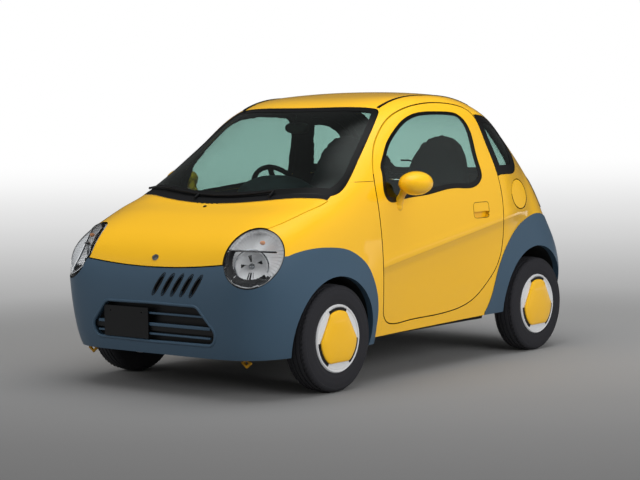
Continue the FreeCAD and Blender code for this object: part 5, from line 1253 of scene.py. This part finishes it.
class MICROCAR_OT_seats(bpy.types.Operator):
    """Make the two cloth seats, each with a cushion, a domed back and a moulded base"""
    bl_idname = "microcar.seats"
    bl_label = "Seats"

    def execute(self, context):
        for side in ("left", "right"):
            low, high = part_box("seat_" + side)
            self.across = (low.y + high.y) / 2
            self.half = (high.y - low.y) / 2
            back = self.back("seat_back_" + side)
            self.cushion("seat_cushion_" + side, high.x)
            self.base("seat_base_" + side, low.z)
            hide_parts("seat_" + side)
        return {"FINISHED"}

    def back(self, name):
        foot, head = Vector((BACK_FOOT[0], self.across, BACK_FOOT[1])), Vector((BACK_HEAD[0], self.across, BACK_HEAD[1]))
        up = (head - foot).normalized()
        forward = Vector((up.z, 0, -up.x))
        wide = self.half - PAD_INSET
        tall = (head - foot).length
        right = [(w * wide, h * tall) for w, h in BACK_SHARES]
        line = right + [(-w, h) for w, h in reversed(right[1:-1])]
        bm = bmesh.new()
        place = foot - forward * PAD_INSET
        face = bm.faces.new([bm.verts.new(place + Vector((0, w, 0)) + up * h) for w, h in line])
        raised = bmesh.ops.extrude_face_region(bm, geom=[face])["geom"]
        front = [g for g in raised if isinstance(g, bmesh.types.BMVert)]
        bmesh.ops.translate(bm, vec=-forward * BACK_THICK, verts=front)
        bmesh.ops.recalc_face_normals(bm, faces=bm.faces)
        rim = [e for e in bm.edges if abs((e.verts[0].co - e.verts[1].co).dot(forward)) < BACK_THICK / 2]
        bmesh.ops.bevel(bm, geom=rim, offset=0.034, segments=4, profile=0.5, affect="EDGES", material=-1)

        def inlaid(spot):
            return (abs(spot.y - self.across) / (self.half * 0.62), (spot - foot).dot(up) / tall)

        def seam(spot):
            across, height = inlaid(spot)
            side = abs(across - 1) * self.half * 0.62 if height < 0.60 else 1.0
            top = abs(height - 0.60) * tall if across < 1.0 else 1.0
            return min(side, top, abs(height - 0.36) * tall if across < 1.0 else 1.0)

        return stuffed(name, bm, seam, lambda spot: inlaid(spot)[0] < 1 and inlaid(spot)[1] < 0.60)

    def cushion(self, name, front):
        bm = bmesh.new()
        wide = self.half - PAD_INSET
        rounded_block(bm, (BACK_FOOT[0] - 0.03, self.across - wide, 0.352), (front - PAD_INSET, self.across + wide, 0.488),
                      0.040, 4)
        for vert in bm.verts:
            ahead = (vert.co.x - BACK_FOOT[0]) / (front - BACK_FOOT[0])
            vert.co.z += 0.018 * ahead * (1 if vert.co.z > 0.42 else 0)

        def seam(spot):
            side = abs(abs(spot.y - self.across) - self.half * 0.62)
            ribs = min(abs(spot.x - x) for x in (-0.20, -0.04)) if abs(spot.y - self.across) < self.half * 0.62 else 1.0
            return min(side, ribs) if spot.z > 0.45 else 1.0

        return stuffed(name, bm, seam, lambda spot: abs(spot.y - self.across) < self.half * 0.62 and spot.z > 0.45)

    def base(self, name, floor):
        """The moulded base under the cushion, with the hinge covers of the back at its rear."""
        bm = bmesh.new()
        wide = self.half * 0.75
        rounded_block(bm, (BACK_FOOT[0], self.across - wide, floor), (0.105, self.across + wide, 0.366), 0.018)
        for way in (-1, 1):
            y = self.across + way * (self.half - 0.020)
            rounded_block(bm, (BACK_FOOT[0] - 0.075, y - 0.012, 0.345), (BACK_FOOT[0] + 0.055, y + 0.012, 0.470), 0.010)
        shaped(name, bm, "body", [moulded_abs])


class MICROCAR_OT_cabin(bpy.types.Operator):
    """Finish the dashboard, the steering wheel and the inside mirror"""
    bl_idname = "microcar.cabin"
    bl_label = "Cabin"

    def execute(self, context):
        dress("dashboard", "dash_plastic", cabin_lining)
        dress("steering_wheel", "dash_plastic", moulded_abs)
        self.hump()
        self.vents()
        self.inside_mirror()
        return {"FINISHED"}

    def hump(self):
        """The domed cowl of the dials in the middle of the dashboard, with its face towards the seats set in."""
        bm = bmesh.new()
        bmesh.ops.create_uvsphere(bm, u_segments=48, v_segments=24, radius=1.0)
        bmesh.ops.scale(bm, vec=(0.165, 0.235, 0.105), verts=bm.verts)
        bmesh.ops.translate(bm, vec=HUMP_PLACE, verts=bm.verts)
        for cut, way in ((HUMP_PLACE - Vector((0, 0, 0.02)), Vector((0, 0, -1))),
                         (HUMP_PLACE - Vector((0.085, 0, 0)), Vector((-1, 0, 0.25)))):
            cut_off = bmesh.ops.bisect_plane(bm, geom=bm.verts[:] + bm.edges[:] + bm.faces[:], plane_co=cut, plane_no=way,
                                             clear_outer=True)["geom_cut"]
            edges = [g for g in cut_off if isinstance(g, bmesh.types.BMEdge)]
            bmesh.ops.edgeloop_fill(bm, edges=edges)
        bmesh.ops.recalc_face_normals(bm, faces=bm.faces)
        face = [f for f in bm.faces if f.normal.x < -0.9]
        bmesh.ops.inset_region(bm, faces=face, thickness=0.012, depth=-0.010)
        shaped("dial_cowl", bm, "body", [soft_vinyl])

    def vents(self):
        """Round air vents at both ends of the dashboard: a ring, a dark well and four slats."""
        low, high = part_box("dashboard")
        board = BVHTree.FromPolygons([v.co for v in NODES["dashboard"].data.vertices],
                                     [f.vertices[:] for f in NODES["dashboard"].data.polygons])
        for name, across in (("left", 0.50), ("right", -0.52)):
            place, normal, _, _ = board.ray_cast(Vector((-0.2, across, high.z - 0.085)), Vector((1, 0, 0)))
            if place is None:
                continue
            turn = (-normal if normal.x > 0 else normal).to_track_quat("Z", "Y").to_matrix().to_4x4()
            bm = bmesh.new()
            ring = bmesh.ops.create_circle(bm, segments=36, radius=0.042)["verts"]
            edges = list({e for v in ring for e in v.link_edges})
            last = stepped(bm, edges, Vector(), [(1.0, Vector((0, 0, 0.006))), (0.93, Vector((0, 0, 0.002))),
                                                 (0.84, Vector((0, 0, 0))), (0.82, Vector((0, 0, -0.006)))])
            bmesh.ops.edgeloop_fill(bm, edges=last)
            for i in range(4):
                up = -0.021 + 0.014 * i
                wide = math.sqrt(0.034 ** 2 - up ** 2)
                rounded_block(bm, (-wide, up - 0.0016, 0.001), (wide, up + 0.0016, 0.007), 0.0008, 1)
            bmesh.ops.transform(bm, matrix=Matrix.Translation(place) @ turn, verts=bm.verts)
            shaped("air_vent_" + name, bm, "body", [moulded_abs])

    def inside_mirror(self):
        """The inside mirror: a rounded housing and the arm to the windscreen."""
        low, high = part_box("inner_mirror")
        centre = Vector(((low.x + high.x) / 2, 0, low.z + 0.031))
        bm = bmesh.new()
        lens = bmesh.ops.create_circle(bm, cap_ends=True, segments=56, radius=1.0)
        for vert in lens["verts"]:
            wide, tall = vert.co.x, vert.co.y
            vert.co = Vector((0, math.copysign(abs(wide) ** 0.62, wide) * 0.104, math.copysign(abs(tall) ** 0.75, tall) * 0.031))
        raised = bmesh.ops.extrude_face_region(bm, geom=bm.faces[:])["geom"]
        bmesh.ops.translate(bm, vec=(0.018, 0, 0), verts=[g for g in raised if isinstance(g, bmesh.types.BMVert)])
        bmesh.ops.scale(bm, vec=(1, 0.9, 0.82), verts=[g for g in raised if isinstance(g, bmesh.types.BMVert)])
        bmesh.ops.recalc_face_normals(bm, faces=bm.faces)
        bmesh.ops.bevel(bm, geom=[e for e in bm.edges if abs(e.verts[0].co.x - e.verts[1].co.x) < MERGE], offset=0.004,
                        segments=3, profile=0.5, affect="EDGES", material=-1)
        bmesh.ops.rotate(bm, verts=bm.verts, cent=(0, 0, 0), matrix=Matrix.Rotation(math.radians(-14), 3, "Z"))
        bmesh.ops.translate(bm, vec=centre, verts=bm.verts)
        shaped("inside_mirror_housing", bm, "body", [moulded_abs], ["inner_mirror"])
        foot = centre + Vector((0.014, 0, 0.012))
        tube("inside_mirror_arm", [foot, foot + Vector((0.012, 0, 0.03)), Vector((high.x, 0, high.z - 0.004))], 0.007,
             "body", moulded_abs, False)


# Studio

# Tone of the floor by distance behind the car's middle, seen from the camera: painted shading, darker towards the
# camera
FLOOR_TONES = [
    (-4.0, "707070"), (-3.1, "727272"), (-2.3, "757575"), (-1.3, "7E7E7E"), (0.0, "919191"), (1.3, "9C9C9C"),
    (3.1, "A8A8A8"), (4.6, "B5B5B5"), (6.6, "C3C3C3"), (9.1, "D0D0D0"), (12.6, "DBDBDB"), (17.9, "E4E4E4"),
    (26.0, "F0F0F0"), (42.0, "FCFCFC"), (48.0, "FFFFFF"),
]


# Direction of each soft box, where its edge starts as a cosine, and its strength
SOFT_BOXES = [((-0.65, 0.75, 0.10), 0.80, 0.35), ((0.25, -0.1, 1.0), 0.80, 0.9), ((0.9, -0.45, 0.25), 0.8, 0.3)]


class MICROCAR_OT_stage(bpy.types.Operator):
    """Set up the pale studio floor, the soft lights and the camera"""
    bl_idname = "microcar.stage"
    bl_label = "Studio"

    def execute(self, context):
        stage = context.scene.microcar_stage
        self.floor(stage)
        self.world(context.scene)
        self.lights(context.scene, stage)
        self.camera(context.scene, stage)
        context.scene.view_settings.view_transform = "Standard"
        return {"FINISHED"}

    def floor(self, stage):
        """Lay the floor with painted shading: grey in front of the car, paler towards the back, white at its far edge.
        """
        bm = bmesh.new()
        bmesh.ops.create_circle(bm, cap_ends=True, segments=96, radius=stage.floor_radius)
        mesh = bpy.data.meshes.new("studio_floor")
        bm.to_mesh(mesh)
        bm.free()
        material = bpy.data.materials.new("studio_floor")
        material.use_nodes = True
        tree = material.node_tree
        tree.nodes.clear()
        where = add(tree, "ShaderNodeTexCoord").outputs["Object"]
        reach = add(tree, "ShaderNodeVectorMath", {0: where}, operation="LENGTH").outputs["Value"]
        back = (-math.cos(stage.heading), -math.sin(stage.heading), 0)
        depth = add(tree, "ShaderNodeVectorMath", {0: where, 1: back}, operation="DOT_PRODUCT").outputs["Value"]
        first, last = FLOOR_TONES[0][0], FLOOR_TONES[-1][0]
        place = add(tree, "ShaderNodeMapRange", {"Value": depth, "From Min": first, "From Max": last})
        ramp = add(tree, "ShaderNodeValToRGB", {"Fac": place.outputs["Result"]})
        stops = ramp.color_ramp.elements
        for i, (at, tone) in enumerate(FLOOR_TONES):
            stop = stops[0] if i == 0 else stops.new((at - first) / (last - first))
            stop.color = opaque(linear(tone))
        stops.remove(stops[-1])
        pale = add(tree, "ShaderNodeMapRange", {"Value": reach, "From Min": stage.fade_start,
                                                "From Max": stage.floor_radius * 0.8},
                   interpolation_type="SMOOTHSTEP").outputs["Result"]
        tone = add(tree, "ShaderNodeMix", {0: pale, 6: ramp.outputs["Color"], 7: (1, 1, 1, 1)}, data_type="RGBA")
        grey = add(tree, "ShaderNodeBsdfDiffuse", {"Color": tone.outputs[2]})
        plain = add(tree, "ShaderNodeEmission", {"Color": tone.outputs[2], "Strength": 1.0})
        path = add(tree, "ShaderNodeLightPath")
        seen = add(tree, "ShaderNodeMath", {0: path.outputs["Is Camera Ray"], 1: path.outputs["Is Glossy Ray"]},
                   operation="MAXIMUM")
        seen = add(tree, "ShaderNodeMath", {0: seen.outputs[0], 1: path.outputs["Is Transmission Ray"]},
                   operation="MAXIMUM")
        apart = add(tree, "ShaderNodeMapRange", {"Value": reach, "From Min": 1.8, "From Max": 4.5},
                    interpolation_type="SMOOTHSTEP").outputs["Result"]
        share = add(tree, "ShaderNodeMath", {0: apart, 1: seen.outputs[0]}, operation="MULTIPLY")
        mix = add(tree, "ShaderNodeMixShader", {0: share.outputs[0], 1: grey.outputs[0], 2: plain.outputs[0]})
        add(tree, "ShaderNodeOutputMaterial", {"Surface": mix.outputs[0]})
        mesh.materials.append(material)
        floor = bpy.data.objects.new("studio_floor", mesh)
        bpy.context.scene.collection.objects.link(floor)

    def world(self, scene):
        """A white backdrop, an even light from the room, and two soft boxes that only show as reflections."""
        world = bpy.data.worlds.new("studio")
        scene.world = world
        world.use_nodes = True
        tree = world.node_tree
        tree.nodes.clear()
        path = add(tree, "ShaderNodeLightPath")
        # A ray that was mirrored inside a pane shows the soft boxes, not the backdrop
        mirrored = add(tree, "ShaderNodeMath", {0: path.outputs["Glossy Depth"], 1: 1.0}, operation="MINIMUM").outputs[0]
        through = add(tree, "ShaderNodeMath", {0: path.outputs["Is Transmission Ray"], 1: mirrored}, operation="SUBTRACT")
        seen = add(tree, "ShaderNodeMath", {0: path.outputs["Is Camera Ray"], 1: through.outputs[0]},
                   operation="MAXIMUM")
        shines = add(tree, "ShaderNodeMath", {0: path.outputs["Is Transmission Ray"], 1: mirrored},
                     operation="MULTIPLY").outputs[0]
        shines = add(tree, "ShaderNodeMath", {0: path.outputs["Is Glossy Ray"], 1: shines}, operation="MAXIMUM").outputs[0]
        sky = add(tree, "ShaderNodeBackground", {"Color": (1, 1, 1, 1), "Strength": 1.0})
        room = add(tree, "ShaderNodeBackground", {"Color": (1, 1, 1, 1), "Strength": 0.37})
        way = add(tree, "ShaderNodeTexCoord").outputs["Generated"]
        shine = None
        for direction, first, strength in SOFT_BOXES:
            facing = add(tree, "ShaderNodeVectorMath", {0: way, 1: Vector(direction).normalized()},
                         operation="DOT_PRODUCT").outputs["Value"]
            box = add(tree, "ShaderNodeMapRange", {"Value": facing, "From Min": first, "From Max": 1.0,
                                                   "To Min": 0.07, "To Max": strength},
                      interpolation_type="SMOOTHSTEP").outputs["Result"]
            if shine:
                box = add(tree, "ShaderNodeMath", {0: shine, 1: box}, operation="MAXIMUM").outputs[0]
            shine = box
        gloss = add(tree, "ShaderNodeBackground", {"Color": (1, 1, 1, 1), "Strength": shine})
        lit = add(tree, "ShaderNodeMixShader", {0: shines, 1: room.outputs[0], 2: gloss.outputs[0]})
        mix = add(tree, "ShaderNodeMixShader", {0: seen.outputs[0], 1: lit.outputs[0], 2: sky.outputs[0]})
        add(tree, "ShaderNodeOutputWorld", {"Surface": mix.outputs[0]})

    def lights(self, scene, stage):
        lamps = [
            ("top_light", (0.3, 0.6, 4.2), (5.0, 3.2), stage.top_light),
            ("side_light", (0.9, 5.6, 2.2), (4.5, 2.2), stage.side_light),
            ("front_light", (5.5, -1.5, 2.6), (3.0, 2.0), stage.front_light),
        ]
        aim = Vector((0, 0, 0.6))
        for name, place, size, power in lamps:
            light = bpy.data.lights.new(name, "AREA")
            light.shape = "RECTANGLE"
            light.size, light.size_y = size
            light.energy = power
            holder = bpy.data.objects.new(name, light)
            holder.location = place
            holder.rotation_euler = (aim - Vector(place)).to_track_quat("-Z", "Y").to_euler()
            holder.visible_transmission = False
            holder.visible_glossy = False
            scene.collection.objects.link(holder)

    def camera(self, scene, stage):
        data = bpy.data.cameras.new("camera")
        data.lens = stage.lens
        data.sensor_width = 36.0
        camera = bpy.data.objects.new("camera", data)
        camera.location = stage.camera_place
        way = Vector((-math.cos(stage.heading) * math.cos(stage.tilt), -math.sin(stage.heading) * math.cos(stage.tilt),
                      -math.sin(stage.tilt)))
        turn = way.to_track_quat("-Z", "Y").to_matrix().to_4x4() @ Matrix.Rotation(stage.roll, 4, "Z")
        camera.rotation_euler = turn.to_euler()
        scene.collection.objects.link(camera)
        scene.camera = camera


class MICROCAR_PT_panel(bpy.types.Panel):
    """List the car's pieces in the sidebar"""
    bl_idname = "MICROCAR_PT_panel"
    bl_label = "Microcar"
    bl_space_type = "VIEW_3D"
    bl_region_type = "UI"
    bl_category = "Microcar"

    def draw(self, context):
        for operator in OPERATORS:
            self.layout.operator(operator.bl_idname)
        for group in (context.scene.microcar_colours, context.scene.microcar_sizes, context.scene.microcar_stage):
            box = self.layout.box()
            for name in group.__annotations__:
                box.prop(group, name)


OPERATORS = (MICROCAR_OT_shell, MICROCAR_OT_glass, MICROCAR_OT_wheels, MICROCAR_OT_lamps, MICROCAR_OT_trim,
             MICROCAR_OT_seats, MICROCAR_OT_cabin, MICROCAR_OT_stage)
GROUPS = {"microcar_colours": MicrocarColours, "microcar_sizes": MicrocarSizes, "microcar_stage": MicrocarStage}


def register():
    for item in (*GROUPS.values(), *OPERATORS, MICROCAR_PT_panel):
        bpy.utils.register_class(item)
    for name, group in GROUPS.items():
        setattr(bpy.types.Scene, name, PointerProperty(type=group))


def unregister():
    for name in GROUPS:
        delattr(bpy.types.Scene, name)
    for item in (MICROCAR_PT_panel, *reversed(OPERATORS), *GROUPS.values()):
        bpy.utils.unregister_class(item)


def main():
    register()
    for operator in OPERATORS:
        group, name = operator.bl_idname.split(".")
        getattr(getattr(bpy.ops, group), name)()


if __name__ == "__main__":
    main()
